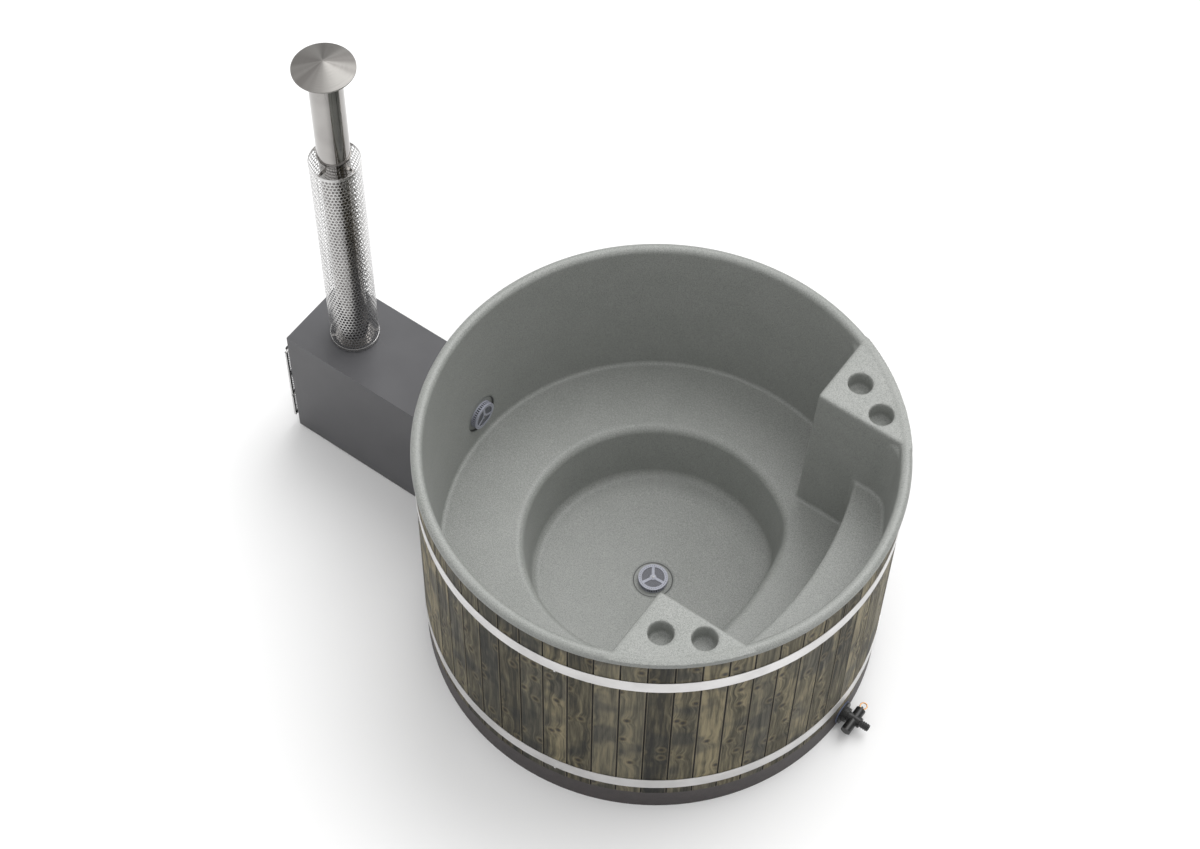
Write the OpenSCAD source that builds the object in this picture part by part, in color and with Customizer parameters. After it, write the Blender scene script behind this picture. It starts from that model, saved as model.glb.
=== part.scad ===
// Wooden hot tub: moulded liner in a staved shell, heated by a wood-fired stove that stands beside it.
// Millimetres, +Z up. The origin is on the ground under the tub's centre. +X points to the entry step and the
// drain valve, and the stove stands on the -X side. The whole is symmetrical about the plane y = 0.

/* [Rim and wall] */
// Outer radius of the rim
rim_r = 900; // [890:2:910]
// Height of the rim above the ground
rim_z = 1153; // [1120:5:1200]
// Radius of the half-round bead along the rim
bead_r = 22; // [21:0.5:23]
// Thickness of the liner
liner_t = 6; // [5:0.5:6.5]
// Height of the bench seat
seat_z = 460; // [440:5:480]
// How far the wall leans in between the rim and the seat
wall_lean = 34; // [30:1:38]

/* [Footwell] */
// Width of the bench seat up to the footwell's rounded edge
seat_w = 320; // [312:2:332]
// Rounding of the footwell's upper edge
well_edge = 28; // [20:1:32]
// Lean of the footwell's wall, in degrees
well_draft = 6.5; // [5:0.5:8]
// Height of the floor at the footwell's wall
well_floor_z = 187; // [180:1:200]
// Fall of the floor towards the drain, in degrees
floor_slope = 4.3; // [3:0.1:4.5]
// Rounding between the floor and the wall of the footwell
floor_round = 28; // [20:1:32]
// Distance from the tub's centre back to the centre of the entry arcs
arc_back = 700; // [690:2:710]
// How far the entry side of the footwell is flattened
flat_in = 74; // [66:2:82]

/* [Consoles and step] */
// Distance from the rim's edge to a console's inner face
console_len = 557; // [550:1:565]
// Distance across from the rim's edge to a console's side
console_w = 400; // [395:1:410]
// Lean of the console's faces, in degrees
console_draft = 1.7; // [1:0.1:2.5]
// Depth of the console's top under the rim's crest
console_drop = 3; // [2:0.5:5]
// Rounding of the console's top edges
console_edge = 12; // [10:1:14]
// Rounding of the console's upright corner
console_corner = 15; // [14:1:20]
// Height of the entry step
step_z = 775; // [750:5:800]
// Depth of the entry step from its front to the foot of the wall
step_d = 178; // [170:2:186]
// Rounding of the step's front edge
step_edge = 10; // [8:1:14]
// Radius of a cup holder
cup_r = 45; // [40:1:46]
// Depth of a cup holder
cup_depth = 70; // [60:2:90]
// Rounding of a cup holder's lip
cup_lip = 7; // [6.5:0.5:9]
// Rounding of a cup holder's floor
cup_round = 10; // [6:1:16]
// Distance of the inner cup holder from the console's inner face
cup_1_in = 97; // [89:1:103]
// Distance of the inner cup holder from the console's side
cup_1_side = 136; // [130:1:145]
// Distance of the outer cup holder from the console's inner face
cup_2_in = 231; // [225:1:233]
// Distance of the outer cup holder from the console's side
cup_2_side = 66; // [62:1:68]

/* [Staves and hoops] */
// Number of staves
stave_n = 59; // [57:1:61]
// Overhang of the rim past the staves' outer faces
rim_lap = 10; // [9:0.5:11]
// Thickness of a stave
stave_t = 27; // [25:1:28]
// Open joint between two staves
stave_gap = 0.8; // [0.6:0.1:0.9]
// Bevel along a stave's outer edges
stave_bevel = 4.5; // [3:0.5:6]
// Direction of the first open joint, in degrees
stave_start = -82.33; // [-84:0.5:-80]
// Thickness of a hoop
hoop_t = 2; // [1.5:0.5:3]
// Lower edge of the lower hoop
hoop_low_z = 162.5; // [150:2.5:180]
// Lower edge of the upper hoop
hoop_high_z = 937; // [900:5:950]
// Width of a hoop
hoop_w = 64.5; // [50:0.5:70]

/* [Base] */
// How far the base tray stays behind the staves' outer faces
tray_inset = 1; // [0:0.5:4]
// Height of the base tray
tray_z = 113; // [109:1:118]
// Wall of the base tray
tray_t = 9; // [7:1:11]
// Floor thickness of the base tray
tray_floor = 8; // [6:1:9]
// Height of the pipes and the drain valve above the ground
valve_z = 52; // [51:0.5:53]

/* [Water fittings] */
// Radius of a strainer
strainer_r = 58; // [55:1:62]
// Height of a strainer
strainer_h = 23; // [20:1:26]
// Radius of the flat seat round a strainer
recess_r = 78; // [76:1:82]
// Depth of the strainer's seat in the floor
recess_depth = 5; // [4:0.5:7]
// Depth of the strainer's seat in the wall, past the foot of the wall
wall_seat_in = 13; // [12:0.5:15]
// Height of the strainer in the wall
wall_inlet_z = 592; // [585:1:593]
// Outer radius of the water pipes
pipe_r = 20; // [18:0.5:20.5]
// Wall of the water pipes
pipe_t = 3; // [2:0.5:4]

/* [Stove] */
// Length of the stove
stove_len = 752; // [745:1:760]
// Gap between the stove and the staves' outer faces
stove_gap = 10; // [9:0.5:11]
// Width of the stove
stove_w = 360; // [352:2:372]
// Height of the stove
stove_h = 620; // [616:1:632]
// Thickness of the casing's sheet
sheet_t = 3; // [2:0.5:4]
// Height of the stove's feet
foot_h = 8; // [6:1:10]
// Thickness of the water jacket's plates
plate_t = 4; // [3:0.5:4.5]
// Water space of the jacket
water_gap = 36; // [32:1:38]

/* [Flue] */
// Distance from the fire end of the stove to the flue
flue_in = 202; // [192:2:212]
// Outer radius of the lower flue
flue_r = 57.5; // [56:0.5:58]
// Wall of the flue
flue_t = 1.5; // [1:0.25:2]
// Top of the lower flue
flue_low_top = 1735; // [1730:1:1750]
// Outer radius of the upper flue
flue_up_r = 61.5; // [61:0.5:63]
// Top of the upper flue
flue_up_top = 2125; // [2100:5:2140]
// Radius of the rain cap
cap_r = 113; // [105:1:120]
// Height of the rain cap's edge
cap_z = 2182; // [2170:1:2195]
// Rise of the rain cap from its edge to its tip
cap_rise = 36; // [30:1:45]
// Radius of the guard round the flue
guard_r = 96; // [92:1:98]
// Top of the guard round the flue
guard_top = 1690; // [1680:1:1700]

/* [Hidden] */
$fn = 96;

// Overrun of a cut
over = 1;
// Gap between pieces that lie against each other
fit_gap = 0.3;
// Radial play of a pin or piston that turns or slides in its bore
run_gap = 0.05;
// Number of nodes that share the staves
stave_groups = 6;
// Number of straight pieces in a rounding of the footwell
arc_steps = 7;

// Rim
bead_x = rim_r - bead_r;
bead_z = rim_z - bead_r;
wall_top_r = rim_r - 2 * bead_r;
console_z = rim_z - console_drop;

// Places that follow the rim: wall, footwell, consoles, cup holders, step, shell, tray and stove
seat_wall_r = wall_top_r - wall_lean;
wall_seat_x = seat_wall_r + wall_seat_in;
well_r = seat_wall_r - seat_w;
flat_r = arc_back + well_r - flat_in;
step_r = arc_back + seat_wall_r - step_d;
console_x = rim_r - console_len;
console_y = rim_r - console_w;
cup_1_x = console_x + cup_1_in;
cup_1_y = console_y + cup_1_side;
cup_2_x = console_x + cup_2_in;
cup_2_y = console_y + cup_2_side;
stave_r = rim_r - rim_lap;
tray_r = stave_r - tray_inset;
stove_near = stave_r + stove_gap;
stove_far = stove_near + stove_len;
flue_x = stove_far - flue_in;

// Staves
half_turn_tan = tan(180 / stave_n);
stave_step = 360 / stave_n;
stave_in_r = stave_r - stave_t;
stave_flat = stave_r * half_turn_tan - stave_gap / 2 - stave_bevel;
gutter_r = bead_r - liner_t;
stave_top_z = bead_z + sqrt(gutter_r * gutter_r - (bead_x - stave_in_r) * (bead_x - stave_in_r)) - fit_gap;

// Hoops: a lug at each end of the band, drawn together by one bolt
hoop_in_r = norm([stave_r, stave_flat]) + fit_gap;
hoop_split = 122;
hoop_opening = 34;
lug_t = 5;
lug_reach = 32;
lug_h = 36;
bolt_r = 5;
bolt_head_r = 9;
bolt_head_h = 6.5;
bolt_spare = 8;
bolt_out = 17;
hoop_zs = [hoop_low_z, hoop_high_z];
nail_staves = [0, 20, 39];
nail_r = 1.6;
nail_depth = 18;
nail_head_r = 4.5;
nail_head_h = 3;

// Base tray and the wood that carries the liner
ledge_t = 10;
ledge_w = 39;
ledge_in_r = tray_r - ledge_w;
lip_h = 14;
lip_t = 9;
boss_r = 49;
bearer_h = 80;
bearer_w = 45;
bearer_end = 12;
bearer_margin = 100;
bearer_step = (tray_r - tray_t - bearer_margin) / 3;
bearer_ys = [-1.5 * bearer_step, -bearer_step / 2, bearer_step / 2, 1.5 * bearer_step];
bearer_top = tray_floor + bearer_h;
board_t = 18;
board_inset = 22;
board_r = well_r - board_inset;
board_hole_r = 54;
board_top = bearer_top + board_t;
insulation_inset = 162;
insulation_r = well_r - insulation_inset;
post_n = 8;
post_w = 70;
post_out = 178;
post_at = well_r + post_out;

// Footwell floor
foot_drop = seat_z - well_edge * (1 - sin(well_draft));
function foot_r(top_r, z) = top_r + well_edge * (1 - cos(well_draft)) - (foot_drop - z) * tan(well_draft);
well_foot_r = foot_r(well_r, well_floor_z);
flat_foot_x = foot_r(flat_r, well_floor_z) - arc_back;
flat_floor_z = well_floor_z - (well_foot_r - flat_foot_x) * tan(floor_slope);
steep_slope = 2 * floor_slope;
recess_edge_z = well_floor_z - (well_foot_r - recess_r) * tan(floor_slope);
recess_z = recess_edge_z - recess_depth;

// Through-wall fittings, one in the floor and one in the wall
flange_r = 50;
flange_t = 5;
gasket_t = 2;
tail_r = 27;
socket_r = pipe_r + run_gap * 4;
bore_r = pipe_r - pipe_t;
socket_depth = 30;
nut_r = 46;
nut_t = 14;
floor_tail_z = 84;
wall_tail_out = 8;
wall_tail_x = stave_r + wall_tail_out;
stem_hole_r = 3.2;
bridge_w = 12;
bridge_t = 4;

// Strainers
strainer_wall = 4;
strainer_slots = 38;
strainer_turn = 34.5;
slot_w = 4.8;
slot_low = 4;
slot_high = 17;
strainer_ring = 13;
strainer_hub_r = 12.5;
spoke_w = 11;
spoke_t = 5;
spoke_step = 0.6;
mesh_t = 1.5;
mesh_sink = 2.2;
screw_r = 3;
screw_head_r = 5.5;
screw_head_h = 2.5;

// Tee under the drain and the pipes
tee_r = 26;
tee_half = 78;
tee_stop = 38;
tee_top = tee_r + 2;
spigot_end_z = 112;
bend_r = 30;
riser_in = 51;
riser_x = stove_near + riser_in;
jacket_in = 100;
jacket_near = stove_near + jacket_in;
cold_in_z = 230;
hot_out_z = 512;
pipe_hole_r = pipe_r + 2;

// Drain valve
valve_gasket_r = 48;
valve_gasket_t = 4;
gasket_far = tray_r + valve_gasket_t;
valve_socket = 15;
valve_tail_r = 24;
valve_tail_in = 54;
valve_tail_x = tray_r - valve_tail_in;
valve_bore_r = 12;
valve_flange_r = 45;
valve_flange_t = 8;
valve_hub_r = 30;
valve_hub_out = 29;
valve_hub_x = tray_r + valve_hub_out;
barrel_out = 55;
barrel_x = tray_r + barrel_out;
barrel_r = 20;
barrel_low = -56;
barrel_high = 44;
outlet_r = 21;
outlet_out = 85;
outlet_x = tray_r + outlet_out;
barb_r = 13.5;
barb_bore_r = 11;
barb_rib = 2.5;
barb_ribs = 4;
barb_rib_w = 9;
cap_plug_t = 6;
cap_plug_in = 8;
piston_r = 14;
piston_half = 14;
piston_stem_r = 7;
knob_t = 6;
tab_t = 6;
tab_h = 14;
tab_len = 12;
ring_mid_r = 13.5;
ring_wire_r = 2.5;
ring_play = 0.6;
ring_hole_r = ring_wire_r + ring_play;
ring_pivot = 6;
valve_nut_r = 38;
valve_nut_t = 12;

// Stove casing
stove_half = stove_w / 2;
front_x = stove_far - sheet_t;
back_x = stove_near + sheet_t;
pan_top = foot_h + sheet_t;
foot_r_stove = 20;
foot_inset = 46;

// Firebox inside its water jacket
jacket_half = 140;
jacket_low = 190;
jacket_head = 45;
jacket_top = stove_h - jacket_head;
chamber_half = jacket_half - water_gap - 2 * plate_t;
chamber_top = jacket_top - water_gap - 2 * plate_t;
chamber_near = jacket_near + water_gap + 2 * plate_t;
chamber_low = jacket_low + plate_t;
jacket_boss = 14;
collar_r = flue_r - flue_t - fit_gap;
collar_head = 15;
collar_top = stove_h - collar_head;
grate_hole_in = 52;
grate_hole_far = stove_far - grate_hole_in;
grate_hole_back = 100;
grate_hole_near = jacket_near + grate_hole_back;
grate_hole_half = 70;
grate_lap = 6;
grate_h = 12;
grate_bars = 8;
grate_bar_w = 10;

// Fire door, hung on the +Y side
opening_low = 204;
opening_high = 490;
seal_w = 8;
seal_inset = 1;
seal_t = 3.7;
door_half = 120;
door_low = 194;
door_high = 502;
door_t = 8;
door_in = stove_far + fit_gap + seal_t;
door_out = door_in + door_t;
hinge_out = 18;
hinge_x = stove_far + hinge_out;
hinge_y = 168;
knuckle_r = 5;
knuckle_h = 20;
pin_r = 3;
hinge_zs = [230, 440];
leaf_w = 6;
leaf_inset = 2;
leaf_plate = 3;
leaf_plate_in = 28;
leaf_plate_out = 6;
arm_t = 8;
arm_inset = 10;
guard_out = 28;
guard_x = stove_far + guard_out;
guard_t = 1.5;
guard_half = 176;
guard_low = 196;
guard_high = 495;
guard_return = 8;
stub_r = 5;
stub_y = 100;
stub_zs = [255, 470];
latch_y = 108;
latch_z = 340;
latch_r = 5;
tongue_t = 5;
tongue_w = 14;
tongue_len = 45;
tongue_out = 15;
tongue_x = stove_far + tongue_out;
handle_out = 42;
handle_x = stove_far + handle_out;
handle_t = 8;
handle_len = 70;
grip_r = 9;
grip_len = 34;
keeper_y = 140;
keeper_w = 25;
keeper_t = 4;
keeper_h = 30;
slider_half = 60;
slider_low = 214;
slider_h = 20;
slider_t = 2.5;
slider_travel = 15;
slider_rail = 4;
slider_lip = 2.5;
slider_rail_half = 85;
air_hole_r = 7;
air_pitch = 30;
air_holes = 4;
knob_stem_r = 3;
knob_r = 7;
knob_len = 8;
knob_tip_out = 36;
knob_out = stove_far + knob_tip_out;
knob_slot = 20;
knob_slot_h = 5;

// Ash drawer under the fire
drawer_half = 94;
drawer_low = 52;
drawer_high = 150;
drawer_t = 2;
drawer_back = 60;
drawer_near = jacket_near + drawer_back;
drawer_gap = 2;
front_half = 140;
front_low = 48;
front_high = 188;
front_t = 5;
ash_guard_low = 50;
ash_guard_high = 190;
ash_stub_y = 120;
ash_stub_zs = [72, 168];
pull_z = 120;
pull_r = 8;
pull_head_r = 15;
pull_out = 53;
pull_x = stove_far + pull_out;
pull_head_t = 10;
rail_t = 6;
rail_in = 70;
rail_guide = 3;
rail_guide_h = 40;

// Flue guard, tabs and cap
guard_lift = 4;
guard_low_z = stove_h + guard_lift;
guard_sheet = 1.5;
guard_band = 14;
tab_w = 12;
tab_sheet = 2;
tab_drop = 7;
tab_n = 4;
slot_clear = 0.6;
lip_under = 12;
lip_low = flue_low_top - lip_under;
lip_band = 10;
lip_high = lip_low + lip_band;
lip_r = 64;
collar_wide = 18;
collar_t = 2;
leg_n = 3;
leg_w = 18;
leg_t = 1.5;
leg_drop = 40;
leg_low = flue_up_top - leg_drop;
cap_t = 1.5;
cap_fold = 5;

// Solid that spans the given limits
module block(x0, x1, y0, y1, z0, z1) {
  translate([x0, y0, z0]) cube([x1 - x0, y1 - y0, z1 - z0]);
}

module rod_x(x0, x1, r) {
  translate([x0, 0, 0]) rotate([0, 90, 0]) cylinder(h = x1 - x0, r = r);
}

module rod_y(y0, y1, r) {
  translate([0, y1, 0]) rotate([90, 0, 0]) cylinder(h = y1 - y0, r = r);
}

module rod_z(z0, z1, r) {
  translate([0, 0, z0]) cylinder(h = z1 - z0, r = r);
}

module ring_z(z0, z1, r_in, r_out) {
  difference() {
    rod_z(z0, z1, r_out);
    rod_z(z0 - over, z1 + over, r_in);
  }
}

module ring_x(x0, x1, r_in, r_out) {
  difference() {
    rod_x(x0, x1, r_out);
    rod_x(x0 - over, x1 + over, r_in);
  }
}

// Space inside the liner. Each part takes a growth: 0 gives the surface that people touch, and the liner's
// thickness gives its hidden side.
module wall_profile(grow) {
  difference() {
    polygon([[0, seat_z - grow], [seat_wall_r + grow, seat_z - grow], [wall_top_r + grow, bead_z],
      [bead_x, bead_z], [bead_x, rim_z + over], [0, rim_z + over]]);
    translate([bead_x, bead_z]) circle(r = bead_r - grow);
  }
}

// Points along a circle from one direction to another
function arc_points(middle, r, from, to) =
  [for (index = [0:arc_steps]) let (a = from + (to - from) * index / arc_steps) middle + r * [cos(a), sin(a)]];

// Half outline of a well with a rounded edge, a leaning wall, a rounded foot and a sloping floor
module well_profile(top_r, floor_z, slope, grow) {
  up_wall = [sin(well_draft), cos(well_draft)];
  in_floor = [-cos(slope), -sin(slope)];
  edge = [top_r + well_edge, seat_z - well_edge];
  foot = [foot_r(top_r, floor_z), floor_z];
  middle = (up_wall + in_floor) / norm(up_wall + in_floor);
  round_at = foot + middle * floor_round / sin((90 + well_draft + slope) / 2);
  floor_points = arc_points(round_at, floor_round + grow, slope - 90, -well_draft);
  edge_points = arc_points(edge, well_edge - grow, 180 - well_draft, 90);
  floor_out = floor_points[0];
  top = seat_z - grow + over;
  polygon(concat([[0, floor_out[1] - floor_out[0] * tan(slope)]], floor_points, edge_points,
    [[edge[0], top], [0, top]]));
}

module well(grow) {
  intersection() {
    rotate_extrude() well_profile(well_r, well_floor_z, floor_slope, grow);
    translate([-arc_back, 0, 0]) rotate_extrude() well_profile(flat_r, flat_floor_z, steep_slope, grow);
  }
}

// Outline of a console's face, from the middle of its upright corner outwards
module console_profile(grow) {
  edge = console_edge - grow;
  top = console_z - grow;
  low = seat_z - liner_t - over;
  out = console_corner - grow;
  union() {
    polygon([[0, low], [out + (top - low) * tan(console_draft), low], [out, top - edge], [out - edge, top],
      [0, top]]);
    translate([out - edge, top - edge]) intersection() {
      circle(r = edge);
      square([edge + over, edge + over]);
    }
  }
}

module console(grow) {
  at_x = console_x + console_corner;
  at_y = console_y + console_corner;
  translate([at_x, at_y, 0]) {
    rotate_extrude() console_profile(grow);
    mirror([0, 1, 0]) rotate([90, 0, 90]) linear_extrude(height = rim_r) console_profile(grow);
    rotate([90, 0, 180]) linear_extrude(height = rim_r) console_profile(grow);
    block(0, rim_r, 0, rim_r, seat_z - liner_t - over, console_z - grow);
  }
}

module step(grow) {
  edge = step_edge - grow;
  top = step_z - grow;
  low = seat_z - liner_t - over;
  front = step_r + grow;
  half = console_y + console_corner;
  intersection() {
    translate([-arc_back, 0, 0]) rotate_extrude() union() {
      polygon([[front - (top - low) * tan(console_draft), low], [front, top - edge], [front + edge, top],
        [arc_back + rim_r, top], [arc_back + rim_r, low]]);
      translate([front + edge, top - edge]) circle(r = edge);
    }
    block(0, rim_r, -half, half, low - over, top + over);
  }
}

module cup(grow) {
  low = console_z - cup_depth;
  lip_at = console_z - cup_lip;
  top = console_z - grow + over;
  rotate_extrude() difference() {
    union() {
      polygon([[0, low - grow], [cup_r - cup_round, low - grow], [cup_r + grow, low + cup_round],
        [cup_r + grow, lip_at], [cup_r + cup_lip, lip_at], [cup_r + cup_lip, top], [0, top]]);
      translate([cup_r - cup_round, low + cup_round]) circle(r = cup_round + grow);
    }
    translate([cup_r + cup_lip, lip_at]) circle(r = cup_lip - grow);
  }
}

module cavity(grow) {
  difference() {
    rotate_extrude() wall_profile(grow);
    console(grow);
    mirror([0, 1, 0]) console(grow);
    step(grow);
  }
  well(grow);
  rod_z(recess_z - grow, well_floor_z, recess_r + grow);
  translate([0, 0, wall_inlet_z]) rod_x(-wall_seat_x - grow, -wall_seat_x + recess_r / 2, recess_r + grow);
  for (side = [-1, 1]) {
    translate([cup_1_x, side * cup_1_y, 0]) cup(grow);
    translate([cup_2_x, side * cup_2_y, 0]) cup(grow);
  }
}

module tub_liner() {
  color("darkgray") difference() {
    union() {
      difference() {
        cavity(liner_t);
        cavity(0);
      }
      rotate_extrude() difference() {
        intersection() {
          translate([bead_x, bead_z]) circle(r = bead_r);
          translate([bead_x, bead_z]) square([bead_r + over, bead_r + over]);
        }
        translate([bead_x, bead_z]) circle(r = gutter_r);
      }
    }
    rod_z(recess_z - 2 * liner_t, recess_z + over, tail_r + fit_gap);
    translate([0, 0, wall_inlet_z]) rod_x(-wall_seat_x - 2 * liner_t, -wall_seat_x + over, tail_r + fit_gap);
  }
}

// One stave in its own frame: x outwards, y along the shell
module stave(index) {
  in_half = stave_in_r * half_turn_tan - stave_gap / 2;
  side_half = (stave_r - stave_bevel) * half_turn_tan - stave_gap / 2;
  difference() {
    translate([0, 0, tray_z]) linear_extrude(height = stave_top_z - tray_z) polygon([
      [stave_in_r, -in_half], [stave_r - stave_bevel, -side_half], [stave_r, -stave_flat],
      [stave_r, stave_flat], [stave_r - stave_bevel, side_half], [stave_in_r, in_half]]);
    if (len(search(index, nail_staves)) > 0) for (z = hoop_zs)
      translate([0, 0, z - nail_head_r]) rod_x(stave_r - nail_depth - over, stave_r + over, nail_r + run_gap);
  }
}

function stave_angle(index) = stave_start + (index + 0.5) * stave_step;

// The staves are shared out over the nodes as evenly as they go
module staves(group) {
  first = floor(stave_n * (group - 1) / stave_groups);
  last = floor(stave_n * group / stave_groups) - 1;
  color(group % 2 == 0 ? "rosybrown" : "tan") difference() {
    for (index = [first:last]) rotate([0, 0, stave_angle(index)]) stave(index);
    translate([0, 0, wall_inlet_z]) rod_x(-stave_r - over, -stave_in_r + over, tail_r + fit_gap);
  }
}

module staves_1() { staves(1); }
module staves_2() { staves(2); }
module staves_3() { staves(3); }
module staves_4() { staves(4); }
module staves_5() { staves(5); }
module staves_6() { staves(6); }

// A steel band, open at one place, with a lug on each end
module hoop(low) {
  lug_low = low + (hoop_w - lug_h) / 2;
  out_r = hoop_in_r + hoop_t;
  color("gainsboro") rotate([0, 0, hoop_split]) difference() {
    union() {
      difference() {
        ring_z(low, low + hoop_w, hoop_in_r, out_r);
        block(0, rim_r, -hoop_opening / 2, hoop_opening / 2, low - over, low + hoop_w + over);
      }
      for (side = [-1, 1]) {
        y_in = side * hoop_opening / 2;
        y_out = side * (hoop_opening / 2 + lug_t);
        block(hoop_in_r, out_r + lug_reach, min(y_in, y_out), max(y_in, y_out), lug_low, lug_low + lug_h);
      }
    }
    rod_z(low - over, low + hoop_w + over, hoop_in_r);
    translate([out_r + bolt_out, 0, low + hoop_w / 2]) rod_y(-hoop_opening, hoop_opening, bolt_r + fit_gap);
  }
}

module hoop_upper() { hoop(hoop_high_z); }
module hoop_lower() { hoop(hoop_low_z); }

module hoop_bolts() {
  end = hoop_opening / 2 + lug_t;
  color("silver") for (low = hoop_zs)
    rotate([0, 0, hoop_split]) translate([hoop_in_r + hoop_t + bolt_out, 0, low + hoop_w / 2]) {
      rod_y(-end, end + bolt_head_h + bolt_spare, bolt_r);
      translate([0, -end, 0]) rotate([90, 0, 0]) cylinder(h = bolt_head_h, r = bolt_head_r, $fn = 6);
      difference() {
        translate([0, end + bolt_head_h, 0]) rotate([90, 0, 0]) cylinder(h = bolt_head_h, r = bolt_head_r, $fn = 6);
        rod_y(end - over, end + bolt_head_h + over, bolt_r + run_gap);
      }
    }
}

module hoop_nails() {
  color("silver") for (index = nail_staves) rotate([0, 0, stave_angle(index)]) for (z = hoop_zs)
    translate([0, 0, z - nail_head_r]) {
      rod_x(stave_r - nail_depth, stave_r + nail_head_h, nail_r);
      rod_x(stave_r, stave_r + nail_head_h, nail_head_r);
    }
}

// Tray with a ledge for the staves, a lip inside them and a flat boss for the drain valve
module base_tray() {
  lip_out = stave_in_r - fit_gap;
  color("dimgray") difference() {
    union() {
      rotate_extrude() polygon([[0, 0], [tray_r, 0], [tray_r, tray_z], [lip_out, tray_z],
        [lip_out, tray_z + lip_h], [lip_out - lip_t, tray_z + lip_h], [ledge_in_r, tray_z],
        [ledge_in_r, tray_z - ledge_t], [tray_r - tray_t, tray_z - ledge_t], [tray_r - tray_t, tray_floor],
        [0, tray_floor]]);
      translate([0, 0, valve_z]) rod_x(tray_r - 2 * tray_t, tray_r, boss_r);
    }
    translate([0, 0, valve_z]) {
      rod_x(tray_r - 3 * tray_t, tray_r + over, valve_tail_r + fit_gap);
      rod_x(-tray_r - over, -tray_r + 2 * tray_t, pipe_hole_r);
    }
  }
}

module base_bearers() {
  color("burlywood") for (y = bearer_ys) {
    far_y = abs(y) + bearer_w / 2;
    inner_r = tray_r - tray_t - bearer_end;
    reach = sqrt(inner_r * inner_r - far_y * far_y);
    block(-reach, reach, y - bearer_w / 2, y + bearer_w / 2, tray_floor, bearer_top);
  }
}

module floor_board() {
  color("wheat") ring_z(bearer_top, board_top, board_hole_r, board_r);
}

// Foam bed with the same fall as the liner's floor
module floor_insulation() {
  rise = tan(floor_slope);
  drop = liner_t / cos(floor_slope) + fit_gap;
  edge_in = recess_r + liner_t + over;
  at_in = well_floor_z - (well_foot_r - edge_in) * rise - drop;
  at_out = well_floor_z - (well_foot_r - insulation_r) * rise - drop;
  color("khaki") rotate_extrude() polygon([[edge_in, board_top], [insulation_r, board_top],
    [insulation_r, at_out], [edge_in, at_in]]);
}

module seat_posts() {
  color("burlywood") for (index = [0:post_n - 1])
    rotate([0, 0, (index + 0.5) * 360 / post_n]) translate([post_at, 0, 0])
      block(-post_w / 2, post_w / 2, -post_w / 2, post_w / 2, tray_floor, seat_z - liner_t);
}

// Strainer with its open side on the plane z = 0: slotted skirt, rim, three spokes and fine mesh between them
module strainer() {
  top_in = strainer_r - strainer_ring;
  difference() {
    union() {
      ring_z(0, strainer_h, strainer_r - strainer_wall, strainer_r);
      ring_z(strainer_h - spoke_t, strainer_h, top_in, strainer_r);
      rod_z(strainer_h - spoke_t, strainer_h, strainer_hub_r);
      for (turn = [90, 210, 330]) rotate([0, 0, turn])
        block(0, strainer_r - strainer_wall, -spoke_w / 2, spoke_w / 2, strainer_h - spoke_t + spoke_step,
          strainer_h - spoke_step);
      rod_z(strainer_h - mesh_sink - mesh_t, strainer_h - mesh_sink, strainer_r - strainer_wall);
    }
    for (index = [0:strainer_slots - 1]) rotate([0, 0, index * 360 / strainer_slots])
      block(strainer_r - 2 * strainer_wall, strainer_r + over, -slot_w / 2, slot_w / 2, slot_low, slot_high);
    rod_z(0, strainer_h + over, stem_hole_r);
  }
}

// Fitting with its flange above the plane z = 0 and its tail below it
module fitting(tail) {
  difference() {
    union() {
      rod_z(gasket_t, gasket_t + flange_t, flange_r);
      rod_z(-tail, gasket_t + flange_t, tail_r);
    }
    difference() {
      rod_z(-tail - over, gasket_t + flange_t + over, bore_r);
      block(-tail_r, tail_r, -bridge_w / 2, bridge_w / 2, gasket_t + flange_t - bridge_t, gasket_t + flange_t);
    }
    rod_z(-tail - over, -tail + socket_depth, socket_r);
    rod_z(0, gasket_t + flange_t + over, screw_r);
  }
}

module at_floor() { translate([0, 0, recess_z]) children(); }
module at_wall() { translate([-wall_seat_x, 0, wall_inlet_z]) rotate([0, 90, 0]) children(); }

module floor_strainer() { color("lightsteelblue") at_floor() translate([0, 0, fit_gap]) rotate([0, 0, strainer_turn]) strainer(); }
module wall_strainer() { color("lightsteelblue") at_wall() translate([0, 0, fit_gap]) rotate([0, 0, 90]) strainer(); }
module floor_fitting() { color("gray") at_floor() fitting(recess_z - floor_tail_z); }
module wall_fitting() { color("gray") at_wall() fitting(wall_tail_x - wall_seat_x); }

module strainer_screw() {
  top = strainer_h + fit_gap;
  rod_z(gasket_t + flange_t - bridge_t, top + over, screw_r - run_gap);
  rod_z(top, top + screw_head_h, screw_head_r);
}

module strainer_screws() {
  color("white") at_floor() strainer_screw();
  color("white") at_wall() strainer_screw();
}

module fitting_gaskets() {
  color("black") at_floor() ring_z(0, gasket_t, tail_r + fit_gap, flange_r);
  color("black") at_wall() ring_z(0, gasket_t, tail_r + fit_gap, flange_r);
}

module fitting_nut() {
  difference() {
    translate([0, 0, -liner_t - nut_t]) cylinder(h = nut_t, r = nut_r, $fn = 8);
    rod_z(-liner_t - nut_t - over, -liner_t + over, tail_r + run_gap);
  }
}

module fitting_nuts() {
  color("gray") at_floor() fitting_nut();
  color("gray") at_wall() fitting_nut();
}

module drain_tee() {
  color("gray") translate([0, 0, valve_z]) difference() {
    union() {
      rod_x(-tee_half, tee_half, tee_r);
      rod_z(0, tee_top, tee_r);
      rod_z(0, spigot_end_z - valve_z, pipe_r);
    }
    rod_x(-tee_half - over, tee_half + over, bore_r);
    rod_z(0, spigot_end_z - valve_z + over, bore_r);
    rod_x(-tee_half - over, -tee_stop, socket_r);
    rod_x(tee_stop, tee_half + over, socket_r);
  }
}

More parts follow.
